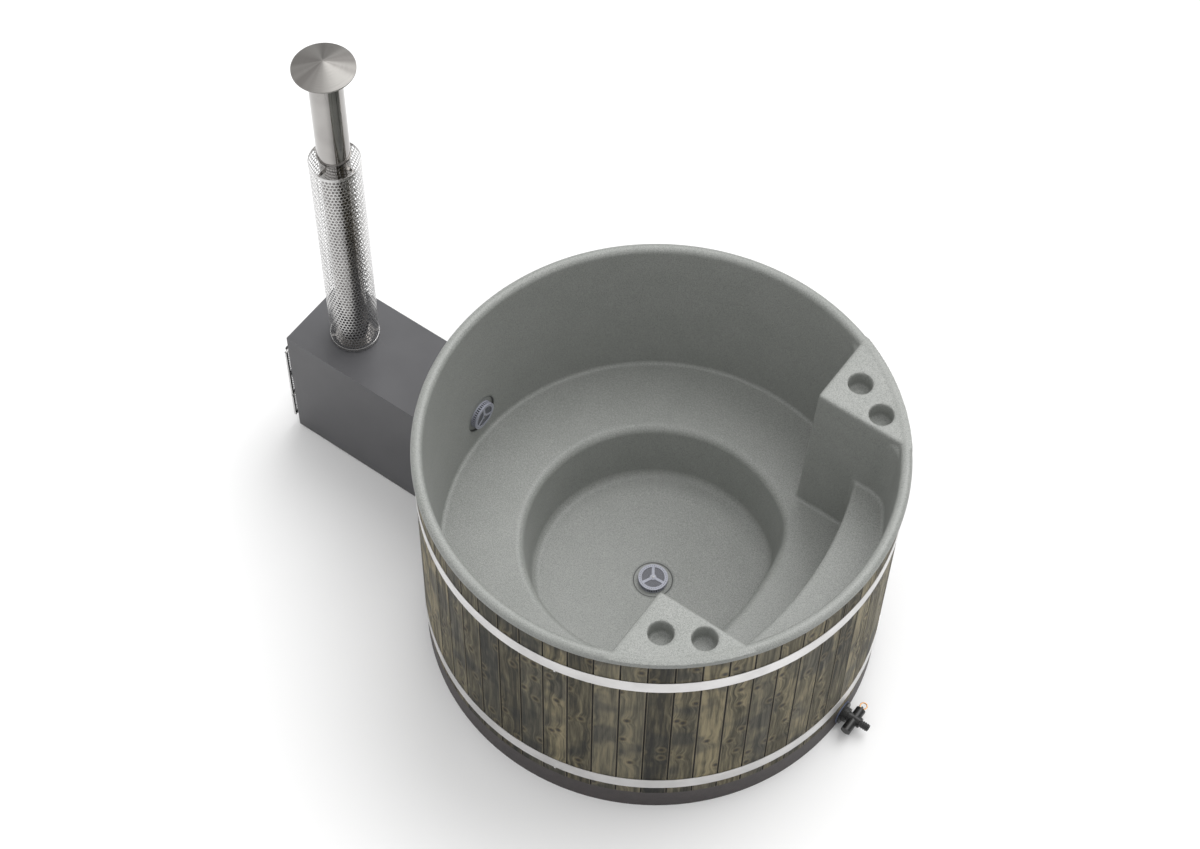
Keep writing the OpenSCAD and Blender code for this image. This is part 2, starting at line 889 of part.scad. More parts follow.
module drain_pipe() {
  color("whitesmoke") translate([0, 0, valve_z])
    ring_x(tee_stop + fit_gap, valve_tail_x + valve_socket - fit_gap, bore_r, pipe_r);
}

// Quarter bend in the plane y = 0: starts at the origin along +X and turns to +Z
module bend(r) {
  translate([0, 0, bend_r]) rotate([90, 0, 0]) rotate([0, 0, -90]) rotate_extrude(angle = 90)
    translate([bend_r, 0]) circle(r = r);
}

// The two lines between the tub and the stove's jacket, drawn once for the pipe and once for its bore
module cold_line(r, ends) {
  run_end = -riser_x + bend_r;
  translate([0, 0, valve_z]) rod_x(run_end, -tee_stop - fit_gap + ends, r);
  translate([run_end, 0, valve_z]) mirror([1, 0, 0]) bend(r);
  translate([-riser_x, 0, 0]) rod_z(valve_z + bend_r, cold_in_z - bend_r, r);
  translate([-riser_x - bend_r, 0, cold_in_z]) mirror([0, 0, 1]) bend(r);
  translate([0, 0, cold_in_z]) rod_x(-jacket_near - ends, -riser_x - bend_r, r);
}

module hot_line(r, ends) {
  run_end = -riser_x + bend_r;
  translate([0, 0, wall_inlet_z]) rod_x(run_end, -wall_tail_x + socket_depth - fit_gap + ends, r);
  translate([run_end, 0, wall_inlet_z]) mirror([1, 0, 0]) mirror([0, 0, 1]) bend(r);
  translate([-riser_x, 0, 0]) rod_z(hot_out_z + bend_r, wall_inlet_z - bend_r, r);
  translate([-riser_x - bend_r, 0, hot_out_z]) bend(r);
  translate([0, 0, hot_out_z]) rod_x(-jacket_near - ends, -riser_x - bend_r, r);
}

module cold_pipe() {
  color("whitesmoke") difference() {
    cold_line(pipe_r, 0);
    cold_line(bore_r, over);
  }
}

module hot_pipe() {
  color("whitesmoke") difference() {
    hot_line(pipe_r, 0);
    hot_line(bore_r, over);
  }
}

// Drain valve: a piston in a cross barrel opens the way from the tee to the hose barb

module valve_gasket() {
  color("slategray") translate([0, 0, valve_z]) ring_x(tray_r, gasket_far, valve_tail_r + fit_gap, valve_gasket_r);
}

module valve_body() {
  color("black") translate([0, 0, valve_z]) difference() {
    union() {
      rod_x(valve_tail_x, gasket_far, valve_tail_r);
      rod_x(gasket_far, gasket_far + valve_flange_t, valve_flange_r);
      rod_x(gasket_far, valve_hub_x, valve_hub_r);
      rod_x(valve_hub_x, outlet_x, outlet_r);
      translate([barrel_x, 0, 0]) rod_y(barrel_low, barrel_high, barrel_r);
    }
    rod_x(valve_tail_x - over, outlet_x + over, valve_bore_r);
    rod_x(valve_tail_x - over, valve_tail_x + valve_socket, socket_r);
    translate([barrel_x, 0, 0]) rod_y(barrel_low - over, barrel_high + over, piston_r);
  }
}

module valve_nut() {
  at = tray_r - 2 * tray_t;
  color("black") translate([at - valve_nut_t, 0, valve_z]) rotate([0, 90, 0]) difference() {
    cylinder(h = valve_nut_t, r = valve_nut_r, $fn = 6);
    rod_z(-over, valve_nut_t + over, valve_tail_r + run_gap);
  }
}

module hose_barb() {
  color("black") translate([0, 0, valve_z]) difference() {
    union() {
      rod_x(outlet_x, outlet_x + barb_ribs * barb_rib_w, barb_r);
      for (index = [0:barb_ribs - 1]) translate([outlet_x + index * barb_rib_w, 0, 0]) rotate([0, 90, 0])
        cylinder(h = barb_rib_w / 2, r1 = barb_r + barb_rib, r2 = barb_r);
    }
    rod_x(outlet_x - over, outlet_x + barb_ribs * barb_rib_w + over, barb_bore_r);
  }
}

module valve_cap() {
  color("black") translate([barrel_x, 0, valve_z]) {
    rod_y(barrel_low - cap_plug_t, barrel_low, barrel_r);
    rod_y(barrel_low - over, barrel_low + cap_plug_in, piston_r - run_gap);
  }
}

module valve_plunger() {
  knob_at = barrel_high + fit_gap;
  tab_at = knob_at + knob_t;
  color("black") translate([barrel_x, 0, valve_z]) difference() {
    union() {
      rod_y(-piston_half, piston_half, piston_r - run_gap);
      rod_y(0, tab_at, piston_stem_r);
      rod_y(knob_at, tab_at, barrel_r);
      block(-tab_t / 2, tab_t / 2, tab_at - over, tab_at + tab_len, -tab_h / 2, tab_h / 2);
    }
    translate([0, tab_at + ring_pivot, 0]) rod_x(-tab_t, tab_t, ring_hole_r);
  }
}

module pull_ring() {
  pivot_y = barrel_high + fit_gap + knob_t + ring_pivot;
  color("sandybrown") translate([barrel_x, pivot_y + ring_mid_r, valve_z])
    rotate_extrude() translate([ring_mid_r, 0]) circle(r = ring_wire_r);
}

// Casing of the stove: top and two long sides, between the end panels
module stove_casing() {
  color("dimgray") difference() {
    block(-front_x, -back_x, -stove_half, stove_half, foot_h, stove_h);
    block(-front_x - over, -back_x + over, -stove_half + sheet_t, stove_half - sheet_t, foot_h - over,
      stove_h - sheet_t);
    translate([-flue_x, 0, 0]) rod_z(stove_h - 2 * sheet_t, stove_h + over, flue_r + sheet_t);
  }
}

module stove_front() {
  color("dimgray") difference() {
    block(-stove_far, -front_x, -stove_half, stove_half, foot_h, stove_h);
    block(-stove_far - over, -front_x + over, -chamber_half, chamber_half, opening_low, opening_high);
    block(-stove_far - over, -front_x + over, -drawer_half - drawer_gap, drawer_half + drawer_gap,
      drawer_low - drawer_gap, drawer_high + drawer_gap);
  }
}

module stove_back() {
  color("dimgray") difference() {
    block(-back_x, -stove_near, -stove_half, stove_half, foot_h, stove_h);
    for (z = [valve_z, wall_inlet_z]) translate([0, 0, z])
      rod_x(-back_x - over, -stove_near + over, pipe_hole_r);
  }
}

module stove_pan() {
  inner = stove_half - sheet_t;
  color("gray") block(-front_x, -back_x, -inner, inner, foot_h, pan_top);
}

module stove_feet() {
  color("black") for (x = [-front_x + foot_inset, -back_x - foot_inset])
    for (y = [-stove_half + foot_inset, stove_half - foot_inset])
      translate([x, y, 0]) rod_z(0, foot_h, foot_r_stove);
}

// Welded firebox: inner and outer plates with water between, side plates down to the pan, flue collar, two bosses
module firebox() {
  boss_x = -jacket_near + jacket_boss;
  color("saddlebrown") difference() {
    union() {
      difference() {
        block(-front_x, -jacket_near, -jacket_half, jacket_half, jacket_low, jacket_top);
        difference() {
          block(-front_x + plate_t, -jacket_near - plate_t, -jacket_half + plate_t, jacket_half - plate_t,
            chamber_low, jacket_top - plate_t);
          block(-front_x, -chamber_near + plate_t, -chamber_half - plate_t, chamber_half + plate_t,
            jacket_low, chamber_top + plate_t);
          translate([-flue_x, 0, 0]) rod_z(chamber_top, jacket_top, collar_r);
        }
      }
      for (side = [-1, 1]) {
        y = side * (jacket_half - plate_t / 2);
        block(-front_x, -jacket_near, y - plate_t / 2, y + plate_t / 2, pan_top, jacket_low + over);
      }
      translate([-flue_x, 0, 0]) rod_z(chamber_top, collar_top, collar_r);
      for (z = [cold_in_z, hot_out_z]) translate([0, 0, z])
        rod_x(-jacket_near - over, boss_x, tail_r);
    }
    block(-front_x - over, -chamber_near, -chamber_half, chamber_half, chamber_low, chamber_top);
    block(-grate_hole_far, -grate_hole_near, -grate_hole_half, grate_hole_half, jacket_low - over,
      chamber_low + over);
    translate([-flue_x, 0, 0]) rod_z(chamber_top - over, collar_top + over, collar_r - flue_t);
    for (z = [cold_in_z, hot_out_z]) translate([0, 0, z]) {
      rod_x(-jacket_near - 2 * plate_t, boss_x, bore_r);
      rod_x(-jacket_near, boss_x + over, socket_r);
    }
  }
}

module fire_grate() {
  far = grate_hole_far + grate_lap;
  near = grate_hole_near - grate_lap;
  half = grate_hole_half + grate_lap;
  pitch = (2 * half - grate_bar_w) / (grate_bars - 1);
  color("black") {
    for (x = [-far, -near - grate_bar_w])
      block(x, x + grate_bar_w, -half, half, chamber_low, chamber_low + grate_h);
    for (index = [0:grate_bars - 1])
      block(-far, -near, -half + index * pitch, -half + index * pitch + grate_bar_w, chamber_low,
        chamber_low + grate_h);
  }
}

module ash_rails() {
  side_in = jacket_half - plate_t;
  guide_in = drawer_half + 2 * fit_gap;
  rail_top = drawer_low - fit_gap;
  color("gray") for (side = [0, 1]) mirror([0, side, 0]) {
    block(-front_x, -jacket_near, rail_in, side_in, rail_top - rail_t, rail_top);
    block(-front_x, -jacket_near, guide_in, guide_in + rail_guide, rail_top - rail_t, rail_top + rail_guide_h);
  }
}

module ash_drawer() {
  front_in = stove_far + fit_gap;
  color("gray") {
    difference() {
      block(-front_in - over, -drawer_near, -drawer_half, drawer_half, drawer_low, drawer_high);
      block(-front_in, -drawer_near - drawer_t, -drawer_half + drawer_t, drawer_half - drawer_t,
        drawer_low + drawer_t, drawer_high + over);
    }
    block(-front_in - front_t, -front_in, -front_half, front_half, front_low, front_high);
    translate([0, 0, pull_z]) {
      rod_x(-pull_x, -front_in - front_t + over, pull_r);
      rod_x(-pull_x - pull_head_t, -pull_x, pull_head_r);
    }
  }
}

// Shallow sheet pan that keeps hands off a hot front
module guard_pan(low, high) {
  inner_half = guard_half - guard_t;
  difference() {
    block(-guard_x, -guard_x + guard_return, -guard_half, guard_half, low, high);
    block(-guard_x + guard_t, -guard_x + guard_return + over, -inner_half, inner_half, low + guard_t,
      high - guard_t);
  }
}

module ash_guard() {
  color("darkgray") {
    difference() {
      guard_pan(ash_guard_low, ash_guard_high);
      translate([0, 0, pull_z]) rod_x(-guard_x - over, -guard_x + 2 * guard_t, pull_r + fit_gap);
    }
    for (y = [-ash_stub_y, ash_stub_y]) for (z = ash_stub_zs)
      translate([0, y, z]) rod_x(-guard_x + guard_t / 2, -stove_far - fit_gap - front_t, stub_r);
  }
}

module hinge_brackets() {
  color("gray") for (z = hinge_zs) difference() {
    union() {
      translate([-hinge_x, hinge_y, 0]) rod_z(z, z + knuckle_h, knuckle_r);
      block(-hinge_x, -stove_far, hinge_y - leaf_inset - leaf_w, hinge_y - leaf_inset, z, z + knuckle_h);
      block(-stove_far - leaf_plate, -stove_far, hinge_y - leaf_plate_in, hinge_y + leaf_plate_out, z,
        z + knuckle_h);
    }
    translate([-hinge_x, hinge_y, 0]) rod_z(z - over, z + knuckle_h + over, pin_r + run_gap / 2);
  }
}

module hinge_pins() {
  color("silver") for (z = hinge_zs) translate([-hinge_x, hinge_y, 0]) rod_z(z, z + 2 * knuckle_h, pin_r);
}

module slider_rail_pair() {
  slider_high = slider_low + slider_h;
  out = door_out + slider_t + 2 * fit_gap;
  for (low_side = [0, 1]) {
    z0 = low_side == 1 ? slider_low - fit_gap - slider_rail : slider_high + fit_gap;
    lip0 = low_side == 1 ? z0 : z0 - slider_lip;
    block(-out, -door_out, -slider_rail_half, slider_rail_half, z0, z0 + slider_rail);
    block(-out - slider_lip, -out, -slider_rail_half, slider_rail_half, lip0, lip0 + slider_rail + slider_lip);
  }
}

module air_hole_row(x0, x1) {
  for (index = [0:air_holes - 1])
    translate([0, (index - (air_holes - 1) / 2) * air_pitch, slider_low + slider_h / 2]) rod_x(x0, x1, air_hole_r);
}

module fire_door() {
  arm_x = hinge_x - leaf_inset;
  color("black") difference() {
    union() {
      block(-door_out, -door_in, -door_half, door_half, door_low, door_high);
      slider_rail_pair();
      for (z = hinge_zs) {
        arm_low = z + knuckle_h + fit_gap;
        block(-arm_x, -arm_x + arm_t, door_half - arm_inset, hinge_y, arm_low, arm_low + knuckle_h);
        translate([-hinge_x, hinge_y, 0]) rod_z(arm_low, arm_low + knuckle_h, knuckle_r);
      }
    }
    translate([-hinge_x, hinge_y, 0]) rod_z(door_low, door_high, pin_r + run_gap);
    translate([0, -latch_y, latch_z]) rod_x(-door_out - over, -door_in + over, latch_r + run_gap);
    air_hole_row(-door_out - over, -door_in + over);
  }
}

module door_seal() {
  in_half = chamber_half + seal_inset;
  in_low = opening_low - seal_inset;
  in_high = opening_high + seal_inset;
  color("ivory") difference() {
    block(-door_in, -stove_far - fit_gap, -in_half - seal_w, in_half + seal_w, in_low - seal_w, in_high + seal_w);
    block(-door_in - over, -stove_far + over, -in_half, in_half, in_low, in_high);
  }
}

module door_guard() {
  slot_mid = slider_low + slider_h / 2;
  color("darkgray") {
    difference() {
      guard_pan(guard_low, guard_high);
      translate([0, -latch_y, latch_z]) rod_x(-guard_x - over, -guard_x + 2 * guard_t, latch_r + fit_gap);
      block(-guard_x - over, -guard_x + 2 * guard_t, -knob_slot, knob_slot, slot_mid - knob_slot_h,
        slot_mid + knob_slot_h);
    }
    for (y = [-stub_y, stub_y]) for (z = stub_zs)
      translate([0, y, z]) rod_x(-guard_x + guard_t / 2, -door_out, stub_r);
  }
}

// Turning latch, drawn open with its tongue upright
module door_latch() {
  color("black") translate([0, -latch_y, latch_z]) {
    rod_x(-handle_x, -door_in - over, latch_r);
    block(-tongue_x - tongue_t, -tongue_x, -tongue_w / 2, tongue_w / 2, -tongue_w / 2, tongue_len);
    block(-handle_x - handle_t, -handle_x, -tongue_w / 2, tongue_w / 2, -tongue_w / 2, handle_len);
    translate([0, 0, handle_len - grip_r]) rod_x(-handle_x - handle_t - grip_len, -handle_x - handle_t, grip_r);
  }
}

module latch_keeper() {
  lip_in = tongue_x + tongue_t + fit_gap;
  color("gray") {
    block(-lip_in - keeper_t, -lip_in, -keeper_y - keeper_w, -keeper_y, latch_z - keeper_h / 2,
      latch_z + keeper_h / 2);
    block(-lip_in - keeper_t, -stove_far, -keeper_y - keeper_w, -keeper_y - keeper_w + keeper_t,
      latch_z - keeper_h / 2, latch_z + keeper_h / 2);
  }
}

module air_slider() {
  slider_in = door_out + fit_gap;
  mid_z = slider_low + slider_h / 2;
  color("silver") {
    difference() {
      block(-slider_in - slider_t, -slider_in, -slider_half, slider_half, slider_low, slider_low + slider_h);
      air_hole_row(-slider_in - slider_t - over, -slider_in + over);
    }
    translate([0, -slider_travel / 2, mid_z]) {
      rod_x(-knob_out, -slider_in - slider_t / 2, knob_stem_r);
      rod_x(-knob_out - knob_len, -knob_out, knob_r);
    }
  }
}

module at_flue() { translate([-flue_x, 0, 0]) children(); }

module tab_ring(r_in, r_out, low, wide, thick) {
  for (index = [0:tab_n - 1]) rotate([0, 0, index * 360 / tab_n])
    block(r_in, r_out, -wide / 2, wide / 2, low, low + thick);
}

module flue_lower() {
  slot = tab_sheet + 2 * slot_clear;
  color("silver") at_flue() difference() {
    ring_z(jacket_top, flue_low_top, flue_r - flue_t, flue_r);
    tab_ring(flue_r - 2 * flue_t, flue_r + over, guard_top - tab_drop - slot_clear, tab_w + 2 * slot_clear, slot);
  }
}

module flue_upper() {
  color("silver") at_flue() {
    ring_z(lip_low, lip_high, flue_r + fit_gap, lip_r);
    ring_z(lip_high - over, flue_up_top, flue_up_r - flue_t, flue_up_r);
  }
}

module rain_cap() {
  color("gainsboro") at_flue() rotate_extrude() polygon([[0, cap_z + cap_rise], [cap_r, cap_z],
    [cap_r, cap_z - cap_fold], [cap_r - cap_t, cap_z - cap_fold], [cap_r - cap_t, cap_z - cap_t],
    [0, cap_z + cap_rise - cap_t]]);
}

module cap_legs() {
  in_r = flue_up_r;
  slope_z = cap_z - cap_t + cap_rise * (1 - (in_r + leg_t) / (cap_r - cap_t)) - fit_gap;
  color("silver") at_flue() for (index = [0:leg_n - 1]) rotate([0, 0, index * 360 / leg_n + 60])
    intersection() {
      ring_z(leg_low, slope_z, in_r, in_r + leg_t);
      block(0, in_r + 2 * leg_t, -leg_w / 2, leg_w / 2, leg_low, slope_z);
    }
}

// Guard round the flue, a plain band at each end of the pierced sheet
module flue_guard() {
  color("lightgray") at_flue() {
    ring_z(guard_low_z, guard_top, guard_r - guard_sheet, guard_r);
    for (low = [guard_low_z, guard_top - guard_band])
      ring_z(low, low + guard_band, guard_r - guard_sheet, guard_r + guard_sheet / 2);
  }
}

// Four flat tabs in the flue's slots, and four feet on the stove's top
module guard_tabs() {
  out = guard_r - guard_sheet - fit_gap;
  color("silver") at_flue() {
    tab_ring(flue_r - flue_t, out, guard_top - tab_drop, tab_w, tab_sheet);
    rotate([0, 0, 45]) tab_ring(flue_r + fit_gap + collar_wide, out, stove_h, tab_w, tab_sheet);
    rotate([0, 0, 45]) tab_ring(out - tab_sheet, out, stove_h, tab_w, tab_drop * 2);
  }
}

// Plate ring that closes the hole in the stove's top
module flue_collar() {
  color("silver") at_flue() ring_z(stove_h, stove_h + collar_t, flue_r + fit_gap, flue_r + fit_gap + collar_wide);
}

tub_liner();
staves_1();
staves_2();
staves_3();
staves_4();
staves_5();
staves_6();
hoop_upper();
hoop_lower();
hoop_bolts();
hoop_nails();
base_tray();
base_bearers();
floor_board();
floor_insulation();
seat_posts();
floor_strainer();
wall_strainer();
strainer_screws();
floor_fitting();
wall_fitting();
fitting_gaskets();
fitting_nuts();
drain_tee();
drain_pipe();
cold_pipe();
hot_pipe();
valve_gasket();
valve_body();
valve_nut();
hose_barb();
valve_cap();
valve_plunger();
pull_ring();
stove_casing();
stove_front();
stove_back();
stove_pan();
stove_feet();
firebox();
fire_grate();
ash_rails();
ash_drawer();
ash_guard();
hinge_brackets();
hinge_pins();
fire_door();
door_seal();
door_guard();
door_latch();
latch_keeper();
air_slider();
flue_lower();
flue_upper();
rain_cap();
cap_legs();
flue_guard();
guard_tabs();
flue_collar();
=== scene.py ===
import math
import bpy
import numpy as np
import openvdb
from mathutils import Matrix, Vector


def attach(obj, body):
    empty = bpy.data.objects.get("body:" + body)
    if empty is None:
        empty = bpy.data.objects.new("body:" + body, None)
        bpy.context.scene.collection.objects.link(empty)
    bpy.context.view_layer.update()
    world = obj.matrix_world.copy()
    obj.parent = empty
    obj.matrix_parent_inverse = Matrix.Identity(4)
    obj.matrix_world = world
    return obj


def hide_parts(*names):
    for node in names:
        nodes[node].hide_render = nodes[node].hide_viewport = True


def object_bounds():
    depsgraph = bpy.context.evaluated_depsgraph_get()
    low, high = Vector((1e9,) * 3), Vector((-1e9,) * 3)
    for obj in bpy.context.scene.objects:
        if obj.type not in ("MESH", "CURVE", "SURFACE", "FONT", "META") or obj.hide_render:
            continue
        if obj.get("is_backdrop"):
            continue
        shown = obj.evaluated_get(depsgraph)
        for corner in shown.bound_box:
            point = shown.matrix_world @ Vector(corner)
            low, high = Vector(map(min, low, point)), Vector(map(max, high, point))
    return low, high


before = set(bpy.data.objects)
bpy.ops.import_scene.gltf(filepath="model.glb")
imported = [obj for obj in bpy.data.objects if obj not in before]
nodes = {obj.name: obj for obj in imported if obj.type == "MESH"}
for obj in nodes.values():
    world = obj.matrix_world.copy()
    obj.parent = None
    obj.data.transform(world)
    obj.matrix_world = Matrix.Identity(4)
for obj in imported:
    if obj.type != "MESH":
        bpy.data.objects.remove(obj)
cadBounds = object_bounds()
print("frame loaded:", len(nodes), "nodes")

# Sockets of the Mix node that carry colors, the middle of a range from 0 to 1, and where most noise lies
mixSockets = {"factor": 0, "first": 6, "second": 7, "result": 2}
middle = 0.5
noiseSpan = (0.3, 0.7)
fullTurn = 2 * math.pi


# A socket that takes part in sums
class Wire:
    def __init__(self, shader, socket):
        self.shader = shader
        self.socket = socket

    def math(self, operation, *others):
        return self.shader.math(operation, self, *others)

    def __add__(self, other):
        return self.math("ADD", other)

    def __sub__(self, other):
        return self.math("SUBTRACT", other)

    def __rsub__(self, other):
        return self.shader.math("SUBTRACT", other, self)

    def __mul__(self, other):
        return self.math("MULTIPLY", other)

    def __truediv__(self, other):
        return self.math("DIVIDE", other)

    def __rtruediv__(self, other):
        return self.shader.math("DIVIDE", other, self)

    def __pow__(self, other):
        return self.math("POWER", other)

    def __gt__(self, other):
        return self.math("GREATER_THAN", other)

    def __lt__(self, other):
        return self.math("LESS_THAN", other)

    __radd__ = __add__
    __rmul__ = __mul__

    def fade(self, low, high, start=0.0, end=1.0, size=1.0):
        settings = {"clamp": True, "interpolation_type": "SMOOTHSTEP"}
        return self.shader.node("ShaderNodeMapRange", settings, [self, low * size, high * size, start, end])


# One node tree, of a material or of the world, and everything that goes into it
class Shader:
    def __init__(self, holder):
        holder.use_nodes = True
        self.holder = holder
        self.tree = holder.node_tree
        self.place = None

    def node(self, kind, settings=None, values=(), output=0):
        made = self.tree.nodes.new(kind)
        for name, value in (settings or {}).items():
            if name == "stops":
                self.setStops(made.color_ramp.elements, value)
            else:
                setattr(made, name, value)
        pairs = values.items() if isinstance(values, dict) else enumerate(values)
        for name, value in pairs:
            self.plug(made.inputs[name], value)
        return Wire(self, made.outputs[output])

    def plug(self, socket, value):
        if isinstance(value, Wire):
            self.tree.links.new(value.socket, socket)
        elif hasattr(value, "__len__") and socket.type == "RGBA":
            socket.default_value = (*value, 1.0)
        else:
            socket.default_value = value

    def setStops(self, elements, stops):
        while len(elements) < len(stops):
            elements.new(middle)
        for element, (place, color) in zip(elements, stops):
            element.position = place
            element.color = (*color, 1.0)

    def math(self, operation, *values):
        return self.node("ShaderNodeMath", {"operation": operation}, values)

    def vectors(self, operation, *values):
        return self.node("ShaderNodeVectorMath", {"operation": operation}, values)

    def spot(self):
        if self.place is None:
            self.place = self.node("ShaderNodeTexCoord", output="Object")
        return self.place

    def split(self, vector):
        parted = self.node("ShaderNodeSeparateXYZ", None, [vector])
        return [Wire(self, out) for out in parted.socket.node.outputs]

    def join(self, x, y, z):
        return self.node("ShaderNodeCombineXYZ", None, [x, y, z])

    def noise(self, vector, scale, detail=2.0, roughness=0.5):
        values = {"Vector": vector, "Scale": scale, "Detail": detail, "Roughness": roughness}
        return self.node("ShaderNodeTexNoise", None, values)

    def ramp(self, value, places, *colors):
        return self.node("ShaderNodeValToRGB", {"stops": list(zip(places, colors))}, [value])

    def mix(self, factor, first, second, blend="MIX"):
        settings = {"data_type": "RGBA", "blend_type": blend}
        values = {mixSockets["factor"]: factor, mixSockets["first"]: first, mixSockets["second"]: second}
        return self.node("ShaderNodeMix", settings, values, mixSockets["result"])

    def tint(self, factor, first, second):
        return self.mix(factor, first, second, "MULTIPLY")

    def bump(self, height, depth):
        return self.node("ShaderNodeBump", None, {"Height": height, "Distance": depth, "Strength": 1.0})

    def feed(self, **links):
        for socket, value in links.items():
            self.plug(self.surface.inputs[socket.replace("_", " ")], value)
        return self.holder

    def cover(self, color, rough, height, depth):
        return self.feed(Base_Color=color, Roughness=rough, Normal=self.bump(height, depth))


def finish(name, **sockets):
    shader = Shader(bpy.data.materials.new(name))
    shader.surface = shader.tree.nodes["Principled BSDF"]
    shader.feed(**sockets)
    return shader


def span(first, second):
    return (first * first + second * second) ** 0.5


def dress(material, *names):
    for name in names:
        slots = nodes[name].data.materials
        slots.clear()
        slots.append(material)


# In every look below, a noise is size, detail and roughness, and a fade is two limits and its values there;
# the fades of the painted recess shade, the knots and the painted dark holes are in their own widths

# Moulded liner with its granite speckle, and painted shade: a dark ring round the edge of each strainer's
# recess
liner = {"dark": (0.212, 0.220, 0.208), "light": (0.368, 0.376, 0.359), "tones": (0.32, 0.68),
         "grain": (230.0, 3.0, 0.7), "gloss": (0.36, 0.5), "relief": 0.0003,
         "fleck": (0.112, 0.118, 0.112), "fleckNoise": (437.0, 1.0), "fleckFade": (0.63, 0.70, 0.0, 0.8),
         "pale": (0.46, 0.47, 0.45), "paleNoise": (368.0, 1.0), "paleFade": (0.64, 0.72, 0.0, 0.7),
         "paleShift": (3.1, 1.7, 5.3), "cloud": (0.86, 0.88, 0.86), "cloudNoise": (9.0, 3.0),
         # groove is the colour of the painted shade round the strainer recesses
         "cloudFade": (0.3, 0.7, 0.0, 0.35), "groove": (0.05, 0.05, 0.05), "recessShadeAt": 0.0765,
         "recessShadeWide": 0.0022, "recessShadeFade": (0.5, 1.4, 0.85, 0.0), "inletHeight": 0.592, "inletX": -0.80,
         "floorTop": 0.20}


def makeGranite():
    shader = finish("graniteLiner")
    place = shader.spot()
    grain = shader.noise(place, *liner["grain"])
    color = shader.ramp(grain, liner["tones"], liner["dark"], liner["light"])
    flecks = shader.noise(place, *liner["fleckNoise"])
    color = shader.mix(flecks.fade(*liner["fleckFade"]), color, liner["fleck"])
    pale = shader.noise(shader.vectors("ADD", place, liner["paleShift"]), *liner["paleNoise"])
    color = shader.mix(pale.fade(*liner["paleFade"]), color, liner["pale"])
    cloud = shader.noise(place, *liner["cloudNoise"])
    color = shader.tint(cloud.fade(*liner["cloudFade"]), color, liner["cloud"])
    # painted shade: a near-black ring where each strainer's recess wall meets its floor
    color = shader.mix(recessShadeMask(shader), color, liner["groove"])
    return shader.cover(color, grain.fade(*noiseSpan, *liner["gloss"]), grain, liner["relief"])


# Mask of the painted shade round the floor strainer's recess and round the wall inlet's recess
def recessShadeMask(shader):
    x, y, z = shader.split(shader.spot())
    floorReach, wallReach = span(x, y), span(y, z - liner["inletHeight"])
    masks = []
    for reach, here in [(floorReach, z < liner["floorTop"]), (wallReach, x < liner["inletX"])]:
        away = (reach - liner["recessShadeAt"]).math("ABSOLUTE")
        masks.append(away.fade(*liner["recessShadeFade"], size=liner["recessShadeWide"]) * here)
    return masks[0].math("MAXIMUM", masks[1])


# Weathered staves: each has its own lot of three random numbers, which shift its grain and its tone
stave = {"count": 59, "start": -82.33, "width": 0.0948, "dark": (0.024, 0.021, 0.013),
         "mid": (0.110, 0.096, 0.057), "light": (0.325, 0.272, 0.156), "tones": (0.34, 0.50, 0.68),
         "gloss": (0.78, 0.58), "relief": 0.0011, "greyed": (0.078, 0.078, 0.064),
         "greyFade": (0.5, 1.0, 0.0, 0.40), "blotch": (0.27, 0.29, 0.33), "blotchNoise": (6.0, 2.5, 0.5),
         "blotchFade": (0.46, 0.62, 0.0, 0.85), "blotchTurn": 0.067, "blotchWide": 0.9, "blotchDeep": 1.5,
         # edge is the colour of the painted highlight on the stave bevels
         "edge": (0.34, 0.30, 0.21), "bevelHighlightFade": (0.0415, 0.0427, 0.0, 0.55), "gapShadow": (0.05, 0.045, 0.035),
         "gapShadowFade": (0.0436, 0.0444, 0.0, 1.0), "foot": (0.45, 0.43, 0.40),
         "footFade": (0.115, 0.19, 0.35, 0.0)}
woodGrain = {"aside": 9.0, "deep": 5.0, "streak": (62.0, 4.0, 0.62), "streakLong": 0.05,
             "streakBend": (0.011, 0.004), "ring": (18.0, 1.0), "ringWide": 0.8, "ringLong": 0.10,
             "ringBend": 0.016, "ringCount": 60.0, "fine": (900.0, 2.0), "fineLong": 0.03,
             "streakShare": 0.76, "ringShare": 0.03, "fineShare": 0.18, "lotShare": 0.22, "streakHeight": 0.6,
             "fineHeight": 0.4}
knot = {"size": 0.0105, "space": 0.125, "aside": 0.731, "squeeze": 0.85, "shift": 4.0,
        "heart": (0.014, 0.011, 0.008), "heartFade": (0.55, 0.95, 0.95, 0.0),
        "rim": (0.35, 0.30, 0.22), "rimFade": (1.0, 1.6, 0.75, 0.0),
        "haloFade": (1.3, 2.6, 0.30, 0.0), "bendFade": (1.0, 5.0, 1.0, 0.0)}


def staveFrame(shader):
    x, y, z = shader.split(shader.spot())
    turn = (y.math("ARCTAN2", x) - math.radians(stave["start"])) * (stave["count"] / fullTurn)
    index = turn.math("FLOOR")
    across = (turn - index - middle) * stave["width"]
    return index, across, z


def knotDistance(shader, index, across, z, lot):
    place = shader.join(across + index * knot["aside"], z * knot["squeeze"] + lot * knot["shift"], 0.0)
    values = {"Vector": place, "Scale": 1 / knot["space"]}
    return shader.node("ShaderNodeTexVoronoi", {"voronoi_dimensions": "2D"}, values) * knot["space"]


def knotFade(away, key):
    return away.fade(*knot[key], size=knot["size"])


